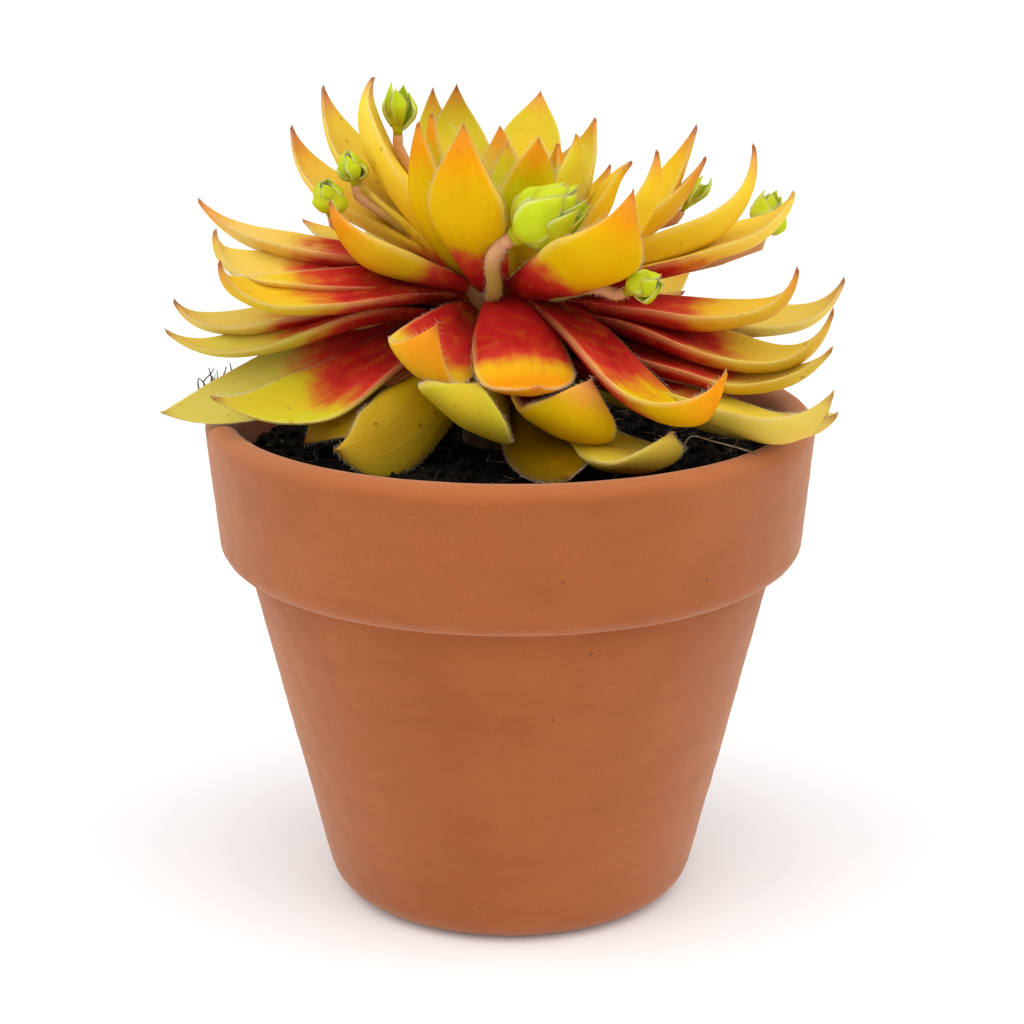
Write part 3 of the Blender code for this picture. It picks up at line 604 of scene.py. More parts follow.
def turned_mesh(profile, steps, centre=(0.0, 0.0)):
    """Verts and faces of a surface of revolution: the profile's rows, and caps where it meets the axis."""
    rows = np.asarray(profile, dtype=float)
    closed = rows[0, 0] > 0 and rows[-1, 0] > 0
    body = rows[(rows[:, 0] > 0)]
    verts = np.vstack([ring(radius, height, steps, centre) for radius, height in body])
    faces = ring_faces(len(body), steps, closed)
    if not closed:
        top, bottom = (*centre, rows[0, 1]), (*centre, rows[-1, 1])
        verts = np.vstack((verts, (top, bottom)))
        faces += cap_faces(len(body), steps)
    return verts, faces


def tube_mesh(points, radii, sides):
    """Verts and faces of a round tube through the points, closed at both ends."""
    points = np.asarray(points, dtype=float)
    ahead = np.gradient(points, axis=0)
    ahead /= np.linalg.norm(ahead, axis=1)[:, None]
    across = np.cross(ahead[0], UP)
    if np.linalg.norm(across) < 1e-3:
        across = np.cross(ahead[0], np.array((1.0, 0.0, 0.0)))
    verts = []
    for point, way, radius in zip(points, ahead, radii):
        across = across - way * (across @ way)
        across /= np.linalg.norm(across)
        other = np.cross(way, across)
        for k in range(sides):
            turn = 2 * math.pi * k / sides
            verts.append(point + (across * math.cos(turn) + other * math.sin(turn)) * radius)
    count = len(points)
    faces = [tuple(range(sides - 1, -1, -1)), tuple(range((count - 1) * sides, count * sides))]
    return np.array(verts), faces + sleeve_faces(count, sides)


def smooth_route(route, steps):
    """Points on a smooth curve through the route's own points."""
    spots = [np.array(p, dtype=float) for p in route]
    spots = [spots[0] * 2 - spots[1]] + spots + [spots[-1] * 2 - spots[-2]]
    points = []
    for a, b, c, d in zip(spots, spots[1:], spots[2:], spots[3:]):
        for i in range(steps):
            t = i / steps
            points.append(0.5 * (2 * b + (c - a) * t + (2 * a - 5 * b + 4 * c - d) * t * t
                                 + (3 * b - a - 3 * c + d) * t ** 3))
    points.append(spots[-2])
    return np.array(points)


def joined(parts):
    """One list of verts and faces from several, with the number of faces in each."""
    verts, faces, counts = [], [], []
    start = 0
    for part_verts, part_faces in parts:
        verts.append(part_verts)
        faces += [tuple(v + start for v in face) for face in part_faces]
        counts.append(len(part_faces))
        start += len(part_verts)
    return np.vstack(verts), faces, counts


class Look:
    """Builds one node material, a step at a time."""

    def __init__(self, name, roughness, preview):
        self.material = bpy.data.materials.new(name)
        self.material.use_nodes = True
        self.material.diffuse_color = (*preview[:3], 1.0)
        self.tree = self.material.node_tree
        self.shader = self.tree.nodes["Principled BSDF"]
        self.set("Roughness", roughness)
        self.fields = {}

    def node(self, kind, inputs=(), **settings):
        made = self.tree.nodes.new(kind)
        for key, value in settings.items():
            setattr(made, key, value)
        for socket, value in inputs:
            self.feed(made.inputs[socket], value)
        return made

    def feed(self, socket, value):
        if isinstance(value, bpy.types.NodeSocket):
            self.tree.links.new(value, socket)
        elif socket.type == "RGBA" and len(value) == 3:
            socket.default_value = (*value, 1.0)
        else:
            socket.default_value = value

    def field(self, name):
        """The three parts of a vertex attribute."""
        if name not in self.fields:
            read = self.node("ShaderNodeAttribute", attribute_name=name)
            split = self.node("ShaderNodeSeparateXYZ", (("Vector", read.outputs["Vector"]),))
            self.fields[name] = [split.outputs[k] for k in "XYZ"]
        return self.fields[name]

    def place(self):
        """Object coordinates, in metres."""
        if "object" not in self.fields:
            self.fields["object"] = self.node("ShaderNodeTexCoord").outputs["Object"]
        return self.fields["object"]

    def math(self, operation, a, b=0.0):
        return self.node("ShaderNodeMath", ((0, a), (1, b)), operation=operation).outputs[0]

    def plus(self, a, b):
        return self.math("ADD", a, b)

    def minus(self, a, b):
        return self.math("SUBTRACT", a, b)

    def times(self, a, b):
        return self.math("MULTIPLY", a, b)

    def rise(self, value, low, high, to_low=0.0, to_high=1.0):
        """A smooth step from to_low to to_high as value goes from low to high."""
        made = self.node("ShaderNodeMapRange", (("Value", value), ("From Min", low), ("From Max", high),
                                                ("To Min", to_low), ("To Max", to_high)),
                         interpolation_type="SMOOTHSTEP")
        return made.outputs["Result"]

    def mix(self, share, a, b, blend="MIX"):
        made = self.tree.nodes.new("ShaderNodeMix")
        made.data_type = "RGBA"
        made.blend_type = blend
        self.feed(made.inputs["Factor"], share)
        self.feed(made.inputs[6], a)
        self.feed(made.inputs[7], b)
        return made.outputs[2]

    def noise(self, scale, detail=2.0, roughness=0.5, vector=None):
        place = self.place() if vector is None else vector
        made = self.node("ShaderNodeTexNoise", (("Vector", place), ("Scale", scale), ("Detail", detail),
                                                ("Roughness", roughness)))
        return made.outputs["Fac"]

    def cells(self, scale):
        made = self.node("ShaderNodeTexVoronoi", (("Vector", self.place()), ("Scale", scale)))
        return made.outputs["Distance"]

    def stretched(self, x, y, z):
        """Coordinates for a texture that is drawn out one way."""
        made = self.node("ShaderNodeCombineXYZ", (("X", x), ("Y", y), ("Z", z)))
        return made.outputs["Vector"]

    def bump(self, height, strength, distance):
        made = self.node("ShaderNodeBump", (("Height", height), ("Strength", strength),
                                            ("Distance", distance)))
        self.tree.links.new(made.outputs["Normal"], self.shader.inputs["Normal"])

    def set(self, socket, value):
        self.feed(self.shader.inputs[socket], value)

    def flesh(self, weight, reach, scale):
        """Light that spreads under the skin: its share, each colour's reach and their scale in metres."""
        self.set("Subsurface Weight", weight)
        self.set("Subsurface Radius", reach)
        self.set("Subsurface Scale", scale)


def leaf_look(settings):
    """The rosette's soft skin: brown and olive at the root, its own colour deepened by painted shade of the
    rosette's depth, then red, yellow, cream and a tanned point, with painted sunlight on some leaves and
    painted olive shade on others.
    """
    look = Look("leaf skin", 0.5, settings.yellow)
    along, across, upper = look.field("leaf_place")
    green, pale, painted_light_and_olive = look.field("leaf_tint")
    red_in, red_out, flush = look.field("leaf_red")
    dark, tan, specks = look.field("leaf_wear")
    broad = look.noise(90.0, 2.0)
    mottle = look.noise(420.0, 3.0)
    streak_place = look.stretched(look.times(along, 1.6), look.times(across, 3.2), upper)
    streak = look.noise(2.0, 2.0, 0.5, streak_place)
    shift = look.minus(look.plus(look.times(broad, 0.5), look.times(streak, 0.5)), 0.5)
    edge = look.math("ABSOLUTE", across)
    edge_squared = look.times(edge, edge)

    greenness = look.plus(green, look.times(look.minus(broad, 0.5), 0.6))
    greenness = look.plus(greenness, look.times(look.minus(edge, 0.6), 0.25))
    skin = look.mix(look.rise(greenness, 0.0, 1.0), settings.yellow, settings.green)
    skin = look.mix(look.times(look.rise(streak, 0.45, 0.75), 0.20), skin, settings.gold)
    # painted light: a third tint value below 0 brightens the leaf towards the sunny yellow, for leaves that
    # lie in shade
    skin = look.mix(look.rise(painted_light_and_olive, 0.0, -1.0), skin, settings.painted_sunlight)
    creamy = look.times(pale, look.rise(look.plus(along, shift), 0.30, 0.80, 0.25, 1.0))
    skin = look.mix(creamy, skin, settings.cream)

    reach = look.minus(1.0, flush)
    near_point = look.plus(along, look.times(shift, 0.25))
    flushed = look.rise(near_point, look.minus(reach, 0.12), look.plus(reach, 0.14))
    flushed = look.times(flushed, look.rise(flush, 0.0, 0.10))
    skin = look.mix(look.times(flushed, 0.85), skin, settings.orange)

    # painted shade: towards the root the skin turns moss, then brown or fern, partly the root's own colour
    # and partly the shade deep in the rosette
    low = look.minus(look.plus(dark, look.times(shift, 0.3)), along)
    skin = look.mix(look.times(look.rise(low, -0.25, 0.10), 0.75), skin, settings.moss)
    root = look.mix(look.rise(green, 0.3, 0.8), settings.umber, settings.fern)
    skin = look.mix(look.times(look.rise(low, -0.02, 0.40), 0.9), skin, root)

    inner = look.minus(red_in, look.times(edge_squared, 0.04))
    outer = look.minus(red_out, look.times(edge_squared, 0.04))
    inside = look.rise(upper, 0.35, 0.75)
    limit = look.plus(look.times(inner, inside), look.times(outer, look.minus(1.0, inside)))
    calm = look.minus(look.plus(look.times(look.noise(170.0, 2.0), 0.8), look.times(streak, 0.2)), 0.5)
    limit = look.plus(limit, look.times(calm, 0.30))
    depth = look.minus(limit, along)
    redness = look.times(look.rise(depth, -0.10, 0.06), look.rise(limit, 0.02, 0.14))
    red = look.mix(look.rise(depth, 0.0, 0.15), settings.red, settings.crimson)
    red = look.mix(look.times(look.rise(broad, 0.40, 0.70), 0.25), red, settings.red)
    # painted shade: towards the root the red deepens to deep red, partly its own colour and partly the shade
    # deep in the rosette
    deep_red_and_shade_mask = look.times(look.rise(depth, 0.10, 0.36), look.rise(dark, -0.15, 0.05))
    red = look.mix(deep_red_and_shade_mask, red, settings.deep_red)
    skin = look.mix(look.times(redness, 0.99), skin, red)

    point = look.plus(along, look.times(shift, 0.06))
    tanned = look.times(look.rise(point, 0.84, 0.97), look.times(tan, 0.75))
    skin = look.mix(tanned, skin, settings.tan)
    brown = look.times(look.rise(point, 0.94, 0.995), look.rise(tan, -0.4, 0.6))
    skin = look.mix(brown, skin, settings.tip_brown)
    rim = look.times(look.rise(edge, 0.88, 0.995), look.rise(along, 0.97, 0.85))
    rim = look.times(rim, look.rise(along, 0.20, 0.50))
    skin = look.mix(look.times(rim, 0.35), skin, settings.cream)

    spot = look.rise(look.cells(330.0), 0.17, 0.07)
    spot = look.times(spot, look.rise(look.noise(110.0, 1.0), 0.66, 0.54))
    fine = look.rise(look.noise(1500.0, 2.0, 0.7), 0.66, 0.74)
    spot = look.math("MAXIMUM", look.times(spot, 0.55), look.times(fine, 0.45))
    skin = look.mix(look.times(spot, specks), skin, settings.speck)
    # painted shade: a third tint value above 0 darkens the skin with olive, partly the leaf's own dull olive
    # and partly painted shade
    skin = look.mix(look.math("MAXIMUM", look.times(painted_light_and_olive, 0.9), 0.0), skin,
                    look.mix(1.0, skin, settings.olive, "MULTIPLY"))
    skin = look.mix(look.times(look.rise(mottle, 0.45, 0.8), 0.10), skin, settings.gold)
    look.set("Base Color", skin)
    look.set("Roughness", look.rise(mottle, 0.2, 0.8, 0.42, 0.60))
    look.flesh(0.15, (1.0, 0.5, 0.1), 0.0016)
    look.set("Specular IOR Level", 0.03)
    fine = look.plus(look.times(look.noise(2600.0, 2.0), 0.5), look.times(streak, 1.6))
    look.bump(fine, 0.22, 0.0003)
    return look.material


def hair_look(settings):
    """The pale hairs, some of them darker."""
    look = Look("pale hair", 0.5, settings.hair)
    look.set("Base Color", look.mix(look.noise(800.0), settings.hair, settings.hair_shade))
    look.flesh(0.3, (1.0, 0.9, 0.7), 0.0005)
    return look.material


def young_look(settings):
    """The offsets' fresh green skin, paler at the edges and faintly brown at the points."""
    look = Look("young leaf skin", 0.45, settings.green)
    along, across = look.field("leaf_place")[:2]
    edge = look.math("ABSOLUTE", across)
    skin = look.mix(look.rise(look.noise(260.0, 3.0), 0.3, 0.7), settings.green, settings.lime)
    skin = look.mix(look.rise(along, 0.35, 0.0), skin, settings.shade)
    skin = look.mix(look.times(look.rise(edge, 0.7, 1.0), 0.6), skin, settings.edge)
    skin = look.mix(look.times(look.rise(along, 0.90, 1.0), 0.6), skin, settings.point)
    look.set("Base Color", skin)
    look.flesh(0.3, (0.6, 1.0, 0.2), 0.0015)
    look.set("Specular IOR Level", 0.06)
    look.bump(look.noise(2200.0, 2.0), 0.2, 0.0002)
    return look.material


def stolon_look(settings):
    """The runners' skin: olive where they leave the rosette, salmon towards the offset."""
    look = Look("runner skin", 0.6, settings.runner)
    along = look.field("runner_place")[0]
    wander = look.plus(along, look.times(look.minus(look.noise(180.0, 2.0), 0.5), 0.5))
    skin = look.mix(look.rise(wander, 0.45, 0.85), settings.runner_green, settings.runner)
    skin = look.mix(look.times(look.rise(look.noise(900.0, 3.0), 0.55, 0.8), 0.35), skin,
                    settings.runner_brown)
    look.set("Base Color", skin)
    look.flesh(0.2, (1.0, 0.4, 0.3), 0.001)
    look.set("Specular IOR Level", 0.06)
    look.bump(look.noise(1500.0, 2.0), 0.3, 0.0002)
    return look.material


def clay_look(settings):
    """Unglazed terracotta: warm and matt, mottled, with fine pits, throwing lines and a paler lip top."""
    look = Look("terracotta", 0.82, settings.clay)
    x, y, z = look.node("ShaderNodeSeparateXYZ", (("Vector", look.place()),)).outputs
    flattened = look.stretched(look.times(x, 0.25), look.times(y, 0.25), z)
    bands = look.noise(260.0, 3.0, 0.6, flattened)
    cloud = look.noise(28.0, 4.0, 0.6)
    grain = look.noise(1900.0, 3.0, 0.7)
    clay = look.mix(look.rise(cloud, 0.35, 0.65), settings.clay, settings.clay_light)
    clay = look.mix(look.times(look.rise(bands, 0.45, 0.75), 0.35), clay, settings.clay_dark)
    clay = look.mix(look.times(look.rise(grain, 0.35, 0.75), 0.25), clay, settings.clay_dark)
    pits = look.rise(look.cells(420.0), 0.16, 0.07)
    rare = look.rise(look.noise(260.0, 1.0), 0.62, 0.70)
    pits = look.times(pits, rare)
    clay = look.mix(look.times(pits, 0.7), clay, settings.pit)
    # the clay turns paler towards the top of the lip
    lip = look.rise(z, LIP_PALE_TOP[0] * MM, LIP_PALE_TOP[1] * MM)
    clay = look.mix(look.times(lip, 0.45), clay, settings.clay_pale)
    look.set("Base Color", clay)
    look.set("Roughness", look.rise(grain, 0.2, 0.8, 0.74, 0.92))
    look.set("Specular IOR Level", 0.1)
    look.set("Sheen Weight", 0.35)
    look.set("Sheen Roughness", 0.5)
    look.set("Sheen Tint", (1.0, 0.82, 0.66))
    height = look.plus(look.times(bands, 0.7), look.times(grain, 0.35))
    height = look.minus(height, look.times(pits, 0.8))
    look.bump(height, 0.35, 0.0004)
    return look.material


def soil_look(settings):
    """Nearly black moist compost."""
    look = Look("compost", 0.9, settings.soil)
    skin = look.mix(look.rise(look.noise(700.0, 4.0, 0.7), 0.45, 0.8), settings.soil, settings.soil_brown)
    look.set("Base Color", skin)
    look.set("Specular IOR Level", 0.08)
    look.bump(look.noise(1500.0, 3.0, 0.7), 0.6, 0.0006)
    return look.material


def plain_look(name, colour, other, roughness, scale):
    """A simple mottled material for small debris and the stem."""
    look = Look(name, roughness, colour)
    look.set("Base Color", look.mix(look.rise(look.noise(scale, 3.0), 0.35, 0.7), colour, other))
    look.bump(look.noise(scale * 2.0, 2.0), 0.4, 0.0003)
    return look.material


def colour_property(name, description, value):
    return bpy.props.FloatVectorProperty(name=name, description=description, subtype="COLOR", size=3, min=0.0,
                                         max=1.0, default=value)


def count_property(name, description, value, least, most):
    return bpy.props.IntProperty(name=name, description=description, default=value, min=least, max=most)


def number_property(name, description, value, least, most):
    return bpy.props.FloatProperty(name=name, description=description, default=value, min=least, max=most)


class HouseleekLeafSettings(bpy.types.PropertyGroup):
    yellow: colour_property("Yellow", "The leaves' main yellow", (0.76, 0.435, 0.002))
    green: colour_property("Green", "The yellow-green of the young and the lower leaves", (0.55, 0.54, 0.006))
    # painted light: the yellow that brightens leaves lying in shade
    painted_sunlight: colour_property("Sunny", "The yellow of leaves that the light shines through", (0.98, 0.66, 0.01))
    gold: colour_property("Gold", "Warmer streaks along a leaf", (0.78, 0.38, 0.003))
    cream: colour_property("Cream", "Paler skin and leaf edges", (0.80, 0.60, 0.22))
    orange: colour_property("Orange", "The flush towards the point", (0.77, 0.24, 0.004))
    moss: colour_property("Moss", "The olive between the root and the middle", (0.42, 0.28, 0.004))
    # moss, umber and fern darken the root: partly its own colour, partly painted shade of the rosette's depth
    umber: colour_property("Umber", "The brown at the root", (0.17, 0.060, 0.003))
    fern: colour_property("Fern", "The green at the root of the young leaves", (0.26, 0.22, 0.004))
    red: colour_property("Red", "The salmon red where the red ends", (0.56, 0.034, 0.022))
    crimson: colour_property("Crimson", "The stronger red further in", (0.39, 0.005, 0.010))
    # deep red: partly the red's own depth, partly painted shade towards the root
    deep_red: colour_property("Deep red", "The darkest red in the rosette's depth", (0.13, 0.002, 0.004))
    # olive: darkens dull leaves, partly their own olive and partly painted shade
    olive: colour_property("Olive", "What dull leaves are darkened by", (0.22, 0.20, 0.30))
    tan: colour_property("Tan", "The tanned skin near the point", (0.60, 0.25, 0.12))
    tip_brown: colour_property("Point", "The drying point of a leaf", (0.30, 0.075, 0.04))
    speck: colour_property("Speck", "Small brown specks", (0.20, 0.08, 0.01))
    hair: colour_property("Hair", "The hairs along the leaf edges", (0.92, 0.88, 0.76))
    hair_shade: colour_property("Hair shade", "The darker hairs", (0.75, 0.66, 0.45))
    rings: count_property("Rings", "Steps along a leaf", 64, 8, 200)
    around: count_property("Around", "Steps around a leaf", 24, 8, 64)
    hair_length: number_property("Hair length", "Length of a usual hair, in mm", 0.55, 0.1, 3.0)
    hair_spacing: number_property("Hair spacing", "Distance between hairs, in mm", 0.18, 0.1, 3.0)
    hair_radius: number_property("Hair radius", "Radius of a hair, in mm", 0.024, 0.01, 0.2)


class HouseleekOffsetSettings(bpy.types.PropertyGroup):
    green: colour_property("Green", "The young leaves' green", (0.46, 0.56, 0.010))
    lime: colour_property("Lime", "The lighter young green", (0.56, 0.60, 0.020))
    shade: colour_property("Shade", "Darker green low on the leaves", (0.44, 0.42, 0.014))
    edge: colour_property("Edge", "Pale leaf edges", (0.72, 0.78, 0.30))
    point: colour_property("Point", "The faintly brown leaf points", (0.35, 0.22, 0.06))
    runner: colour_property("Runner", "The runners' salmon near the offset", (0.66, 0.34, 0.17))
    runner_green: colour_property("Runner green", "The runners' olive near the rosette", (0.40, 0.27, 0.05))
    runner_brown: colour_property("Runner brown", "Brown flecks on the runners", (0.34, 0.13, 0.05))


class HouseleekPotSettings(bpy.types.PropertyGroup):
    clay: colour_property("Clay", "The pot's main colour", (0.335, 0.088, 0.022))
    clay_light: colour_property("Light clay", "Lighter clouds in the clay", (0.38, 0.104, 0.028))
    clay_dark: colour_property("Dark clay", "Darker bands and grain", (0.275, 0.068, 0.017))
    # the paler colour on the top of the lip
    clay_pale: colour_property("Pale clay", "The worn lip", (0.47, 0.15, 0.045))
    pit: colour_property("Pit", "Small dark pits", (0.12, 0.03, 0.012))
    steps: count_property("Steps", "Steps around the pot", 240, 24, 512)


class HouseleekSoilSettings(bpy.types.PropertyGroup):
    soil: colour_property("Compost", "The soil's colour", (0.006, 0.005, 0.004))
    soil_brown: colour_property("Brown", "Brown crumbs in the soil", (0.03, 0.018, 0.010))
    bark: colour_property("Bark", "The stem and bark", (0.16, 0.08, 0.04))
    grit: colour_property("Grit", "Pale grit", (0.30, 0.30, 0.20))
    crumbs: count_property("Crumbs", "Loose crumbs on the soil", 700, 0, 4000)
    fibres: count_property("Fibres", "Loose fibres on the soil", 90, 0, 1000)


class HouseleekStageSettings(bpy.types.PropertyGroup):
    floor: colour_property("Floor", "The pale floor", (0.90, 0.90, 0.90))
    air: number_property("Air", "Brightness of the white surroundings", 0.62, 0.0, 10.0)
    side_light: number_property("Side light", "Strength of each soft side light", 0.75, 0.0, 20.0)
    top_light: number_property("Top light", "Strength of the soft light above", 1.35, 0.0, 20.0)


def arc(centre_r, centre_z, radius, start, end, steps):
    """Points on an arc in the (radius, height) plane, angles in degrees."""
    angles = np.radians(np.linspace(start, end, steps + 1))
    return [(centre_r + radius * math.cos(a), centre_z + radius * math.sin(a)) for a in angles]


def between(start, end, step):
    """Points along a straight stretch of profile, both ends left out."""
    start, end = np.array(start), np.array(end)
    count = max(int(np.linalg.norm(end - start) / step), 1)
    return [tuple(start + (end - start) * i / count) for i in range(1, count)]


def inner_radius(height):
    """The pot's inner radius at a height."""
    rim = RIM_RADIUS - RIM_WALL
    along = (height - FLOOR) / (POT_HEIGHT - RIM_WALL / 2 - FLOOR)
    return INNER_FOOT_RADIUS + (rim - INNER_FOOT_RADIUS) * along


def pot_profile():
    """The pot's section, over the lip, down the outside, under the foot and up the inside."""
    lip = RIM_WALL / 2
    lean = math.atan2(BODY_TOP_RADIUS - FOOT_RADIUS, BAND_BOTTOM)
    foot_height = FOOT_EDGE * math.sin(math.radians(FOOT_REST))
    foot_centre = FOOT_RADIUS + foot_height * math.tan(lean) - FOOT_EDGE / math.cos(lean)
    profile = arc(RIM_RADIUS - lip, POT_HEIGHT - lip, lip, 180, 0, 14)
    band = arc(BAND_RADIUS - BAND_EDGE, BAND_BOTTOM + BAND_EDGE, BAND_EDGE, 0, -90, 10)
    profile += between(profile[-1], band[0], 1.0) + band
    profile += [(BODY_TOP_RADIUS + 0.25, BAND_BOTTOM), (BODY_TOP_RADIUS, BAND_BOTTOM - 0.3)]
    foot = arc(foot_centre, foot_height, FOOT_EDGE, -math.degrees(lean), -FOOT_REST, 10)
    profile += between(profile[-1], foot[0], 1.0) + foot
    profile += between(foot[-1], (DRAIN_RADIUS, 0.0), 3.0) + [(DRAIN_RADIUS, 0.0), (DRAIN_RADIUS, 3.0)]
    profile += [(DRAIN_RADIUS, FLOOR), (INNER_FOOT_RADIUS, FLOOR)]
    profile += between((INNER_FOOT_RADIUS, FLOOR), profile[0], 4.0)
    return profile


class HOUSELEEK_OT_pot(bpy.types.Operator):
    """Build the terracotta pot with its slightly uneven skin and paler lip top"""
    bl_idname = "houseleek.pot"
    bl_label = "Pot"

    def execute(self, context):
        settings = context.scene.houseleek_pot
        verts, faces = turned_mesh(pot_profile(), settings.steps)
        radius = np.hypot(verts[:, 0], verts[:, 1])
        outside = smooth(radius - np.interp(verts[:, 2], (0, POT_HEIGHT), (26.0, 44.0)), 0.0, 2.0)
        squashed = verts * (0.35, 0.35, 1.0)
        push = 0.05 * ripple(squashed, 2.6, 3, 2) + 0.09 * ripple(verts, 40.0, 4)
        lifted = smooth(verts[:, 2], 0.5, 2.5)
        away = verts * (1.0, 1.0, 0.0) / np.maximum(radius, 1)[:, None]
        verts = verts + away * (push * outside * lifted)[:, None]
        piece = mesh_piece("terracotta_pot", verts, faces, [clay_look(settings)])
        piece.data.set_sharp_from_angle(angle=math.radians(50))
        dress(piece, "terracotta", "pot")
        return {"FINISHED"}


def soil_height(x, y):
    """The compost's level at a place, a little higher round the stem."""
    radius = np.hypot(x, y)
    return np.interp(radius, (0.0, 20.0, 34.0, inner_radius(SOIL_EDGE)),
                     (SOIL_TOP + 0.4, SOIL_TOP, SOIL_TOP - 0.7, SOIL_EDGE))


def compost_mesh(wall):
    """The compost's lumpy top, its hole for the stem, and its plain side and bottom in the pot."""
    radii = np.concatenate((np.linspace(STEM_HOLE_RADIUS, 14.0, 10), np.linspace(14.5, wall, 62)))
    top = np.vstack([ring(radius, soil_height(radius, 0.0), SOIL_AROUND) for radius in radii])
    lump = 0.45 * ripple(top, 5.0, 11, 4) + 0.25 * np.abs(ripple(top, 1.6, 12, 2))
    fade = smooth(np.hypot(top[:, 0], top[:, 1]), STEM_HOLE_RADIUS, 10.0)
    top[:, 2] += lump * fade - 0.15
    bottom = FLOOR + GAP
    hole = SOIL_TOP - STEM_HOLE_DEPTH
    inner = ring(STEM_HOLE_RADIUS, hole, SOIL_AROUND)
    outer = ring(inner_radius(bottom) - GAP, bottom, SOIL_AROUND)
    verts = np.vstack((inner, top, outer, ((0.0, 0.0, hole), (0.0, 0.0, bottom))))
    rings = len(radii) + 2
    return verts, ring_faces(rings, SOIL_AROUND) + cap_faces(rings, SOIL_AROUND)


def crumb_form():
    """The corners and triangles of the twenty-sided solid that every crumb starts from."""
    golden = (1 + math.sqrt(5)) / 2
    corners = np.array([(0, a, b * golden) for a in (-1, 1) for b in (-1, 1)]
                       + [(a, b * golden, 0) for a in (-1, 1) for b in (-1, 1)]
                       + [(a * golden, 0, b) for a in (-1, 1) for b in (-1, 1)], dtype=float)
    corners /= np.linalg.norm(corners[0])
    faces = []
    for i, j, k in combinations(range(len(corners)), 3):
        a, b, c = corners[[i, j, k]]
        if max(np.linalg.norm(a - b), np.linalg.norm(b - c), np.linalg.norm(c - a)) < 1.2:
            outward = np.cross(b - a, c - a) @ (a + b + c)
            faces.append((i, j, k) if outward > 0 else (i, k, j))
    return corners, faces


def crumb_verts(corners, centre, size, seed):
    """The corners of one small uneven crumb."""
    rng = np.random.default_rng(seed)
    stretch = rng.uniform(0.55, 1.25, 3)
    verts = corners * rng.uniform(0.75, 1.2, (len(corners), 1)) * stretch * size
    turn = rng.normal(size=(3, 3))
    turn = np.linalg.qr(turn)[0]
    if np.linalg.det(turn) < 0:
        turn[:, 0] *= -1
    return verts @ turn.T + centre


def fibre_mesh(start, way, length, radius, seed, level=None):
    """One thin bent fibre; with a level it lies along that surface."""
    rng = np.random.default_rng(seed)
    steps = 7
    points = [np.array(start, dtype=float)]
    way = np.array(way, dtype=float)
    for _ in range(steps):
        way = way / np.linalg.norm(way) + rng.normal(0, 0.28, 3)
        if level is not None:
            way[2] *= 0.3
        step = points[-1] + way / np.linalg.norm(way) * length / steps
        if level is not None:
            step[2] = level(step[0], step[1]) + radius + rng.uniform(0.0, 0.35)
        points.append(step)
    radii = radius * np.linspace(1.0, 0.45, steps + 1)
    return tube_mesh(points, radii, 5)


def scattered(rng, least, most):
    """A random place on the soil between two distances from the pot's axis, and its direction."""
    reach = math.sqrt(rng.uniform(least ** 2, most ** 2))
    turn = rng.uniform(0, 2 * math.pi)
    return reach * math.cos(turn), reach * math.sin(turn), turn


def loose_crumbs(rng, wall, count):
    """The dark crumbs and the pale grit that lie on the compost."""
    corners, sides = crumb_form()
    crumbs, grit = [], []
    for i in range(count):
        x, y, _ = scattered(rng, 10.0, wall - 1.0)
        size = rng.uniform(0.3, 0.75) if i % LUMP_EVERY else rng.uniform(0.7, 1.3)
        centre = (x, y, soil_height(x, y) + size * 0.35)
        kind = grit if i % GRIT_EVERY == 5 else crumbs
        kind.append((crumb_verts(corners, centre, size, 1000 + i), sides))
    return crumbs, grit


def loose_fibres(rng, wall, count):
    """The fibres that lie on the compost, most of them pointing in from the wall."""
    fibres = []
    for i in range(count):
        x, y, turn = scattered(rng, 12.0, wall - 5.0)
        heading = rng.uniform(0, 2 * math.pi)
        way = (math.cos(heading) - math.cos(turn) * 0.6, math.sin(heading) - math.sin(turn) * 0.6, 0.0)
        fibres.append(fibre_mesh((x, y, SOIL_TOP), way, rng.uniform(3.0, 9.0), rng.uniform(0.08, 0.2),
                                 3000 + i, soil_height))
    return fibres


def dry_fibres():
    """The tuft of dry fibres over the lip, behind the left leaves."""
    rng = np.random.default_rng(77)
    fibres = []
    for i in range(DRY_FIBRES):
        start = np.array(DRY_FIBRES_PLACE) + rng.normal(0, 1.0, 3) * DRY_FIBRES_SPREAD
        way = (rng.normal(-0.1, 1.0), rng.normal(0, 0.4), rng.uniform(0.05, 0.7))
        fibres.append(fibre_mesh(start, way, rng.uniform(2.5, 6.0), rng.uniform(0.10, 0.22), 3600 + i))
    return fibres


class HOUSELEEK_OT_soil(bpy.types.Operator):
    """Build the crumbly compost with its loose crumbs, grit and fibres"""
    bl_idname = "houseleek.soil"
    bl_label = "Soil"

    def execute(self, context):
        settings = context.scene.houseleek_soil
        wall = inner_radius(SOIL_EDGE) - GAP
        compost = soil_look(settings)
        verts, faces = compost_mesh(wall)
        dress(mesh_piece("compost", verts, faces, [compost]), "soil", "soil")

        rng = np.random.default_rng(21)
        crumbs, grit = loose_crumbs(rng, wall, settings.crumbs)
        verts, faces = joined(crumbs)[:2]
        dress(mesh_piece("compost_crumbs", verts, faces, [compost], flat=True), "soil")
        verts, faces = joined(grit)[:2]
        pale = plain_look("pale grit", settings.grit, settings.soil_brown, 0.8, 600.0)
        dress(mesh_piece("pale_grit", verts, faces, [pale], flat=True), "soil")

        verts, faces = joined(loose_fibres(rng, wall, settings.fibres) + dry_fibres())[:2]
        strands = plain_look("dark fibre", settings.soil_brown, settings.bark, 0.8, 500.0)
        dress(mesh_piece("compost_fibres", verts, faces, [strands]), "soil")

        route = smooth_route(PALE_ROOT, 8)
        verts, faces = tube_mesh(route, np.full(len(route), PALE_ROOT_RADIUS), 6)
        pale = plain_look("pale root", settings.grit, settings.bark, 0.7, 500.0)
        dress(mesh_piece("pale_root", verts, faces, [pale]), "soil")
        return {"FINISHED"}


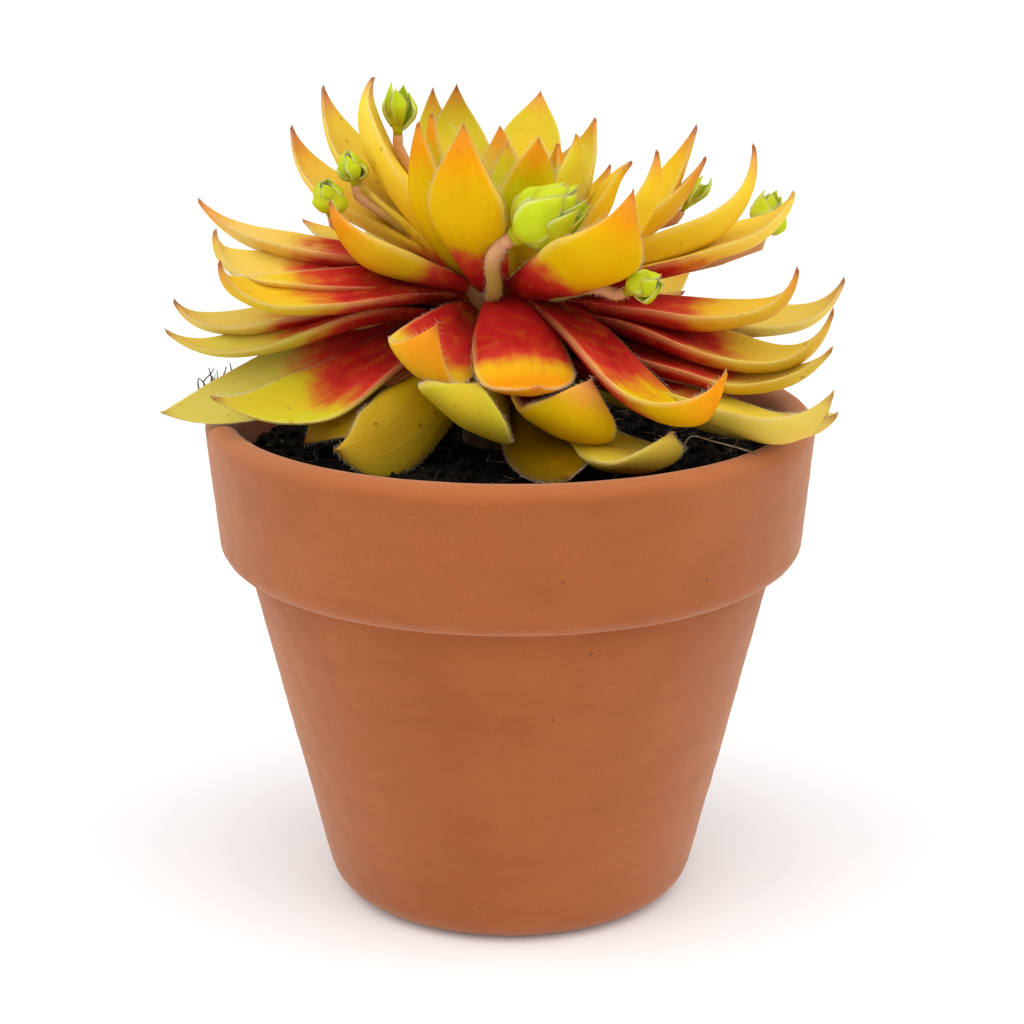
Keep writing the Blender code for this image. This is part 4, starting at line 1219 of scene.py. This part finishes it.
class HOUSELEEK_OT_stem(bpy.types.Operator):
    """Build the woody stem and the fleshy axis that the leaves grow from"""
    bl_idname = "houseleek.stem"
    bl_label = "Stem"

    def execute(self, context):
        soil = context.scene.houseleek_soil
        low = SOIL_TOP - STEM_HOLE_DEPTH + GAP
        rows = [(0.0, STEM_TOP), (STEM_RADIUS * 0.6, STEM_TOP), (STEM_RADIUS, STEM_TOP - 0.4)]
        rows += between(rows[-1], (STEM_RADIUS, low), 0.7) + [(STEM_RADIUS, low), (0.0, low)]
        verts, faces = turned_mesh(rows, STEM_AROUND, (STEM_X, 0.0))
        spread = verts - np.array((STEM_X, 0.0, 0.0))
        rough = 1 + 0.035 * ripple(spread * np.array((1.0, 1.0, 2.0)), 3.0, 31, 3)
        verts[:, 0] = STEM_X + spread[:, 0] * np.minimum(rough, 1.02)
        verts[:, 1] = spread[:, 1] * np.minimum(rough, 1.02)
        bark = plain_look("bark", soil.bark, soil.soil_brown, 0.85, 350.0)
        dress(mesh_piece("woody_stem", verts, faces, [bark]), "stem", "stem")

        leaf = context.scene.houseleek_leaves
        top = CORE_PROFILE[-1][1] + 0.6
        rows = [(0.0, top)]
        knots = list(reversed(CORE_PROFILE))
        for start, end in zip(knots, knots[1:]):
            rows += [start] + between(start, end, 1.0)
        rows += [knots[-1], (0.0, knots[-1][1])]
        verts, faces = turned_mesh(rows, AXIS_AROUND, (STEM_X, 0.0))
        flesh = plain_look("fleshy axis", leaf.umber, leaf.deep_red, 0.6, 120.0)
        dress(mesh_piece("rosette_axis", verts, faces, [flesh]), "leaf", "rosette")
        return {"FINISHED"}


def leaf_piece(leaf, index, settings, skin, hair):
    """One fine leaf with its fringe of hairs, coloured by its tint."""
    shift = np.array((STEM_X, 0.0, 0.0))
    verts, faces, place = leaf_mesh(leaf, index, settings.rings, settings.around, LEAF_THICKNESS, ROOT_RADIUS)
    hairs, hair_faces = margin_hairs(leaf, 500 + index, settings.hair_spacing, settings.hair_length,
                                     settings.hair_radius, LEAF_THICKNESS, ROOT_RADIUS)
    all_verts, all_faces, counts = joined([(verts, faces), (hairs, hair_faces)])
    tint = tint_of(leaf.name)
    blank = np.tile((1.0, 0.0, 1.0), (len(hairs), 1))
    fields = {"leaf_place": np.vstack((place, blank))}
    for field, three in (("leaf_tint", tint[:3]), ("leaf_red", tint[3:6]), ("leaf_wear", tint[6:])):
        fields[field] = np.tile(three, (len(all_verts), 1))
    slots = [0] * counts[0] + [1] * counts[1]
    piece = mesh_piece("leaf_" + leaf.name, all_verts + shift, all_faces, [skin, hair], slots, fields)
    dress(piece, "leaf", "rosette")


class HOUSELEEK_OT_leaves(bpy.types.Operator):
    """Build every leaf of the rosette with the hairs along its edges"""
    bl_idname = "houseleek.leaves"
    bl_label = "Leaves"

    def execute(self, context):
        settings = context.scene.houseleek_leaves
        skin = leaf_look(settings)
        hair = hair_look(settings)
        for index, leaf in enumerate(CROWN + HEART + SKIRT + back_leaves() + bud_leaves()):
            leaf_piece(leaf, index, settings, skin, hair)
        return {"FINISHED"}


def runner_fuzz(skin, middle, count, seed):
    """Short hairs that stand on a runner's skin."""
    rng = np.random.default_rng(seed)
    chosen = rng.integers(0, len(skin), count)
    roots = skin[chosen]
    ways = roots - middle[chosen // RUNNER_SIDES] + rng.normal(0, 0.3, roots.shape)
    lengths = rng.uniform(0.25, 0.7, count)
    return hair_mesh(roots, ways, lengths, FINE_HAIR_RADIUS, rng.normal(0, 0.06, roots.shape))


class HOUSELEEK_OT_runners(bpy.types.Operator):
    """Build the runners that carry the young offsets"""
    bl_idname = "houseleek.runners"
    bl_label = "Runners"

    def execute(self, context):
        skin = stolon_look(context.scene.houseleek_offsets)
        hair = hair_look(context.scene.houseleek_leaves)
        carried = {offset.name: offset for offset in OFFSETS}
        for index, stolon in enumerate(STOLONS):
            offset = carried[stolon.offset]
            axis = np.array(offset.axis, dtype=float)
            axis /= np.linalg.norm(axis)
            end = np.array(offset.foot) - axis * OFFSET_STALK
            points = smooth_route(list(stolon.route) + [end - axis * RUNNER_END], RUNNER_STEPS)
            points = np.vstack((points, [end - axis * (RUNNER_END / 2), end]))
            radii = RUNNER_SLIMMING * stolon.radius * (1 + 0.06 * ripple(points, 4.0, 60 + index))
            skin_verts, skin_faces = tube_mesh(points, radii, RUNNER_SIDES)
            along = np.repeat(np.linspace(0.0, 1.0, len(points)), RUNNER_SIDES)
            fuzz = runner_fuzz(skin_verts, points, int(RUNNER_HAIRS * stolon.radius), 90 + index)
            verts, faces, counts = joined([(skin_verts, skin_faces), fuzz])
            place = np.zeros((len(verts), 3))
            place[:len(along), 0] = along
            slots = [0] * counts[0] + [1] * counts[1]
            piece = mesh_piece("runner_of_" + stolon.offset, verts, faces, [skin, hair], slots,
                               {"runner_place": place})
            dress(piece, "leaf", "rosette")
        return {"FINISHED"}


def offset_frame(offset):
    """The three directions of an offset's own frame, its growing axis last."""
    axis = Vector(offset.axis).normalized()
    return np.array(axis.to_track_quat("Z", "Y").to_matrix())


class HOUSELEEK_OT_offsets(bpy.types.Operator):
    """Build the small green offsets"""
    bl_idname = "houseleek.offsets"
    bl_label = "Offsets"

    def execute(self, context):
        settings = context.scene.houseleek_offsets
        skin = young_look(settings)
        hair = hair_look(context.scene.houseleek_leaves)
        for number, offset in enumerate(OFFSETS):
            turn = offset_frame(offset)
            heart = offset.radius * 0.55
            rows = [(0.0, offset.height * 0.75), (heart * 0.7, offset.height * 0.6),
                    (heart, offset.height * 0.3), (heart * 0.6, 0.0), (heart * 0.5, -OFFSET_STALK),
                    (0.0, -OFFSET_STALK)]
            core, core_faces = turned_mesh(rows, OFFSET_CORE_AROUND)
            parts = [(core, core_faces)]
            places = [np.tile((0.1, 0.0, 1.0), (len(core), 1))]
            fringe = []
            for i, leaf in enumerate(offset_leaves(offset)):
                seed = 700 + number * 40 + i
                verts, faces, place = leaf_mesh(leaf, seed, OFFSET_RINGS, OFFSET_AROUND, OFFSET_THICKNESS,
                                                heart * 0.5)
                parts.append((verts, faces))
                places.append(place)
                fringe.append(margin_hairs(leaf, seed, OFFSET_HAIR_SPACING, OFFSET_HAIR_LENGTH,
                                           FINE_HAIR_RADIUS, OFFSET_THICKNESS, heart * 0.5))
            hairs, hair_faces = joined(fringe)[:2]
            places.append(np.tile((1.0, 0.0, 1.0), (len(hairs), 1)))
            verts, faces, counts = joined(parts + [(hairs, hair_faces)])
            verts = verts @ turn.T + np.array(offset.foot)
            slots = [0] * sum(counts[:-1]) + [1] * counts[-1]
            piece = mesh_piece("young_" + offset.name, verts, faces, [skin, hair], slots,
                               {"leaf_place": np.vstack(places)})
            dress(piece, "offset", offset.name)
        return {"FINISHED"}


CAMERA_PLACE = (0.0, -0.39683, 0.17994)
CAMERA_PITCH = 17.40
CAMERA_LENS = 87.07
CAMERA_SHIFT = (0.0014, 0.0507)
FLOOR_SIZE = 3000.0
FLOOR_DROP = 0.05
FLOOR_CLOUD = (0.91, 0.91, 0.91)
FLOOR_GLOW = 0.07
FLOOR_GLOW_COLOUR = (0.90, 0.97, 1.0)

# Each light's azimuth, height above the floor and spread, in degrees, and the setting that holds its strength
LIGHTS = (
    ("left light", -75.0, 38.0, 60.0, "side_light"),
    ("right light", 75.0, 38.0, 60.0, "side_light"),
    ("top light", 0.0, 68.0, 70.0, "top_light"),
)


def wide_light(name, azimuth, height, spread, strength):
    """A far soft light: azimuth is counted from the camera's side towards +X, height above the floor."""
    light = bpy.data.lights.new(name, "SUN")
    light.energy = strength
    light.angle = math.radians(spread)
    lamp = bpy.data.objects.new(name, light)
    turn, lift = math.radians(azimuth), math.radians(height)
    away = Vector((math.sin(turn) * math.cos(lift), -math.cos(turn) * math.cos(lift), math.sin(lift)))
    lamp.location = away
    lamp.rotation_euler = away.to_track_quat("Z", "Y").to_euler()
    bpy.context.scene.collection.objects.link(lamp)


class HOUSELEEK_OT_stage(bpy.types.Operator):
    """Set the pale floor, the soft studio light and the camera"""
    bl_idname = "houseleek.stage"
    bl_label = "Stage"

    def execute(self, context):
        settings = context.scene.houseleek_stage
        scene = context.scene
        scene.view_settings.view_transform = "Standard"
        world = bpy.data.worlds.new("white air")
        world.use_nodes = True
        scene.world = world
        background = world.node_tree.nodes["Background"]
        background.inputs["Color"].default_value = (1.0, 1.0, 1.0, 1.0)
        background.inputs["Strength"].default_value = settings.air

        look = Look("pale floor", 0.9, settings.floor)
        look.set("Base Color", look.mix(look.noise(3.0), settings.floor, FLOOR_CLOUD))
        look.set("Emission Color", FLOOR_GLOW_COLOUR)
        look.set("Emission Strength", FLOOR_GLOW)
        signs = ((-1, -1), (1, -1), (1, 1), (-1, 1))
        corners = [(x * FLOOR_SIZE, y * FLOOR_SIZE, -FLOOR_DROP) for x, y in signs]
        mesh_piece("floor", corners, [(0, 1, 2, 3)], [look.material], flat=True)

        for name, azimuth, height, spread, strength in LIGHTS:
            wide_light(name, azimuth, height, spread, getattr(settings, strength))

        camera = bpy.data.cameras.new("camera")
        camera.lens = CAMERA_LENS
        camera.sensor_width = 36.0
        camera.shift_x, camera.shift_y = CAMERA_SHIFT
        camera.clip_start = 0.01
        camera.clip_end = 20.0
        holder = bpy.data.objects.new("camera", camera)
        holder.location = CAMERA_PLACE
        holder.rotation_euler = (math.radians(90 - CAMERA_PITCH), 0.0, 0.0)
        scene.collection.objects.link(holder)
        scene.camera = holder
        return {"FINISHED"}


BUILD_ORDER = ("stage", "pot", "soil", "stem", "leaves", "runners", "offsets")


class HOUSELEEK_PT_panel(bpy.types.Panel):
    """Lists the steps that build the houseleek"""
    bl_idname = "HOUSELEEK_PT_panel"
    bl_label = "Houseleek"
    bl_space_type = "VIEW_3D"
    bl_region_type = "UI"
    bl_category = "Houseleek"

    def draw(self, context):
        for step in BUILD_ORDER:
            self.layout.operator("houseleek." + step)


CLASSES = (
    HouseleekLeafSettings,
    HouseleekOffsetSettings,
    HouseleekPotSettings,
    HouseleekSoilSettings,
    HouseleekStageSettings,
    HOUSELEEK_OT_stage,
    HOUSELEEK_OT_pot,
    HOUSELEEK_OT_soil,
    HOUSELEEK_OT_stem,
    HOUSELEEK_OT_leaves,
    HOUSELEEK_OT_runners,
    HOUSELEEK_OT_offsets,
    HOUSELEEK_PT_panel,
)
SETTINGS = {
    "houseleek_leaves": HouseleekLeafSettings,
    "houseleek_offsets": HouseleekOffsetSettings,
    "houseleek_pot": HouseleekPotSettings,
    "houseleek_soil": HouseleekSoilSettings,
    "houseleek_stage": HouseleekStageSettings,
}


def register():
    for made in CLASSES:
        bpy.utils.register_class(made)
    for name, group in SETTINGS.items():
        setattr(bpy.types.Scene, name, bpy.props.PointerProperty(type=group))


def unregister():
    for name in SETTINGS:
        delattr(bpy.types.Scene, name)
    for made in reversed(CLASSES):
        bpy.utils.unregister_class(made)


def main():
    register()
    for step in BUILD_ORDER:
        getattr(bpy.ops.houseleek, step)()


if __name__ == "__main__":
    main()
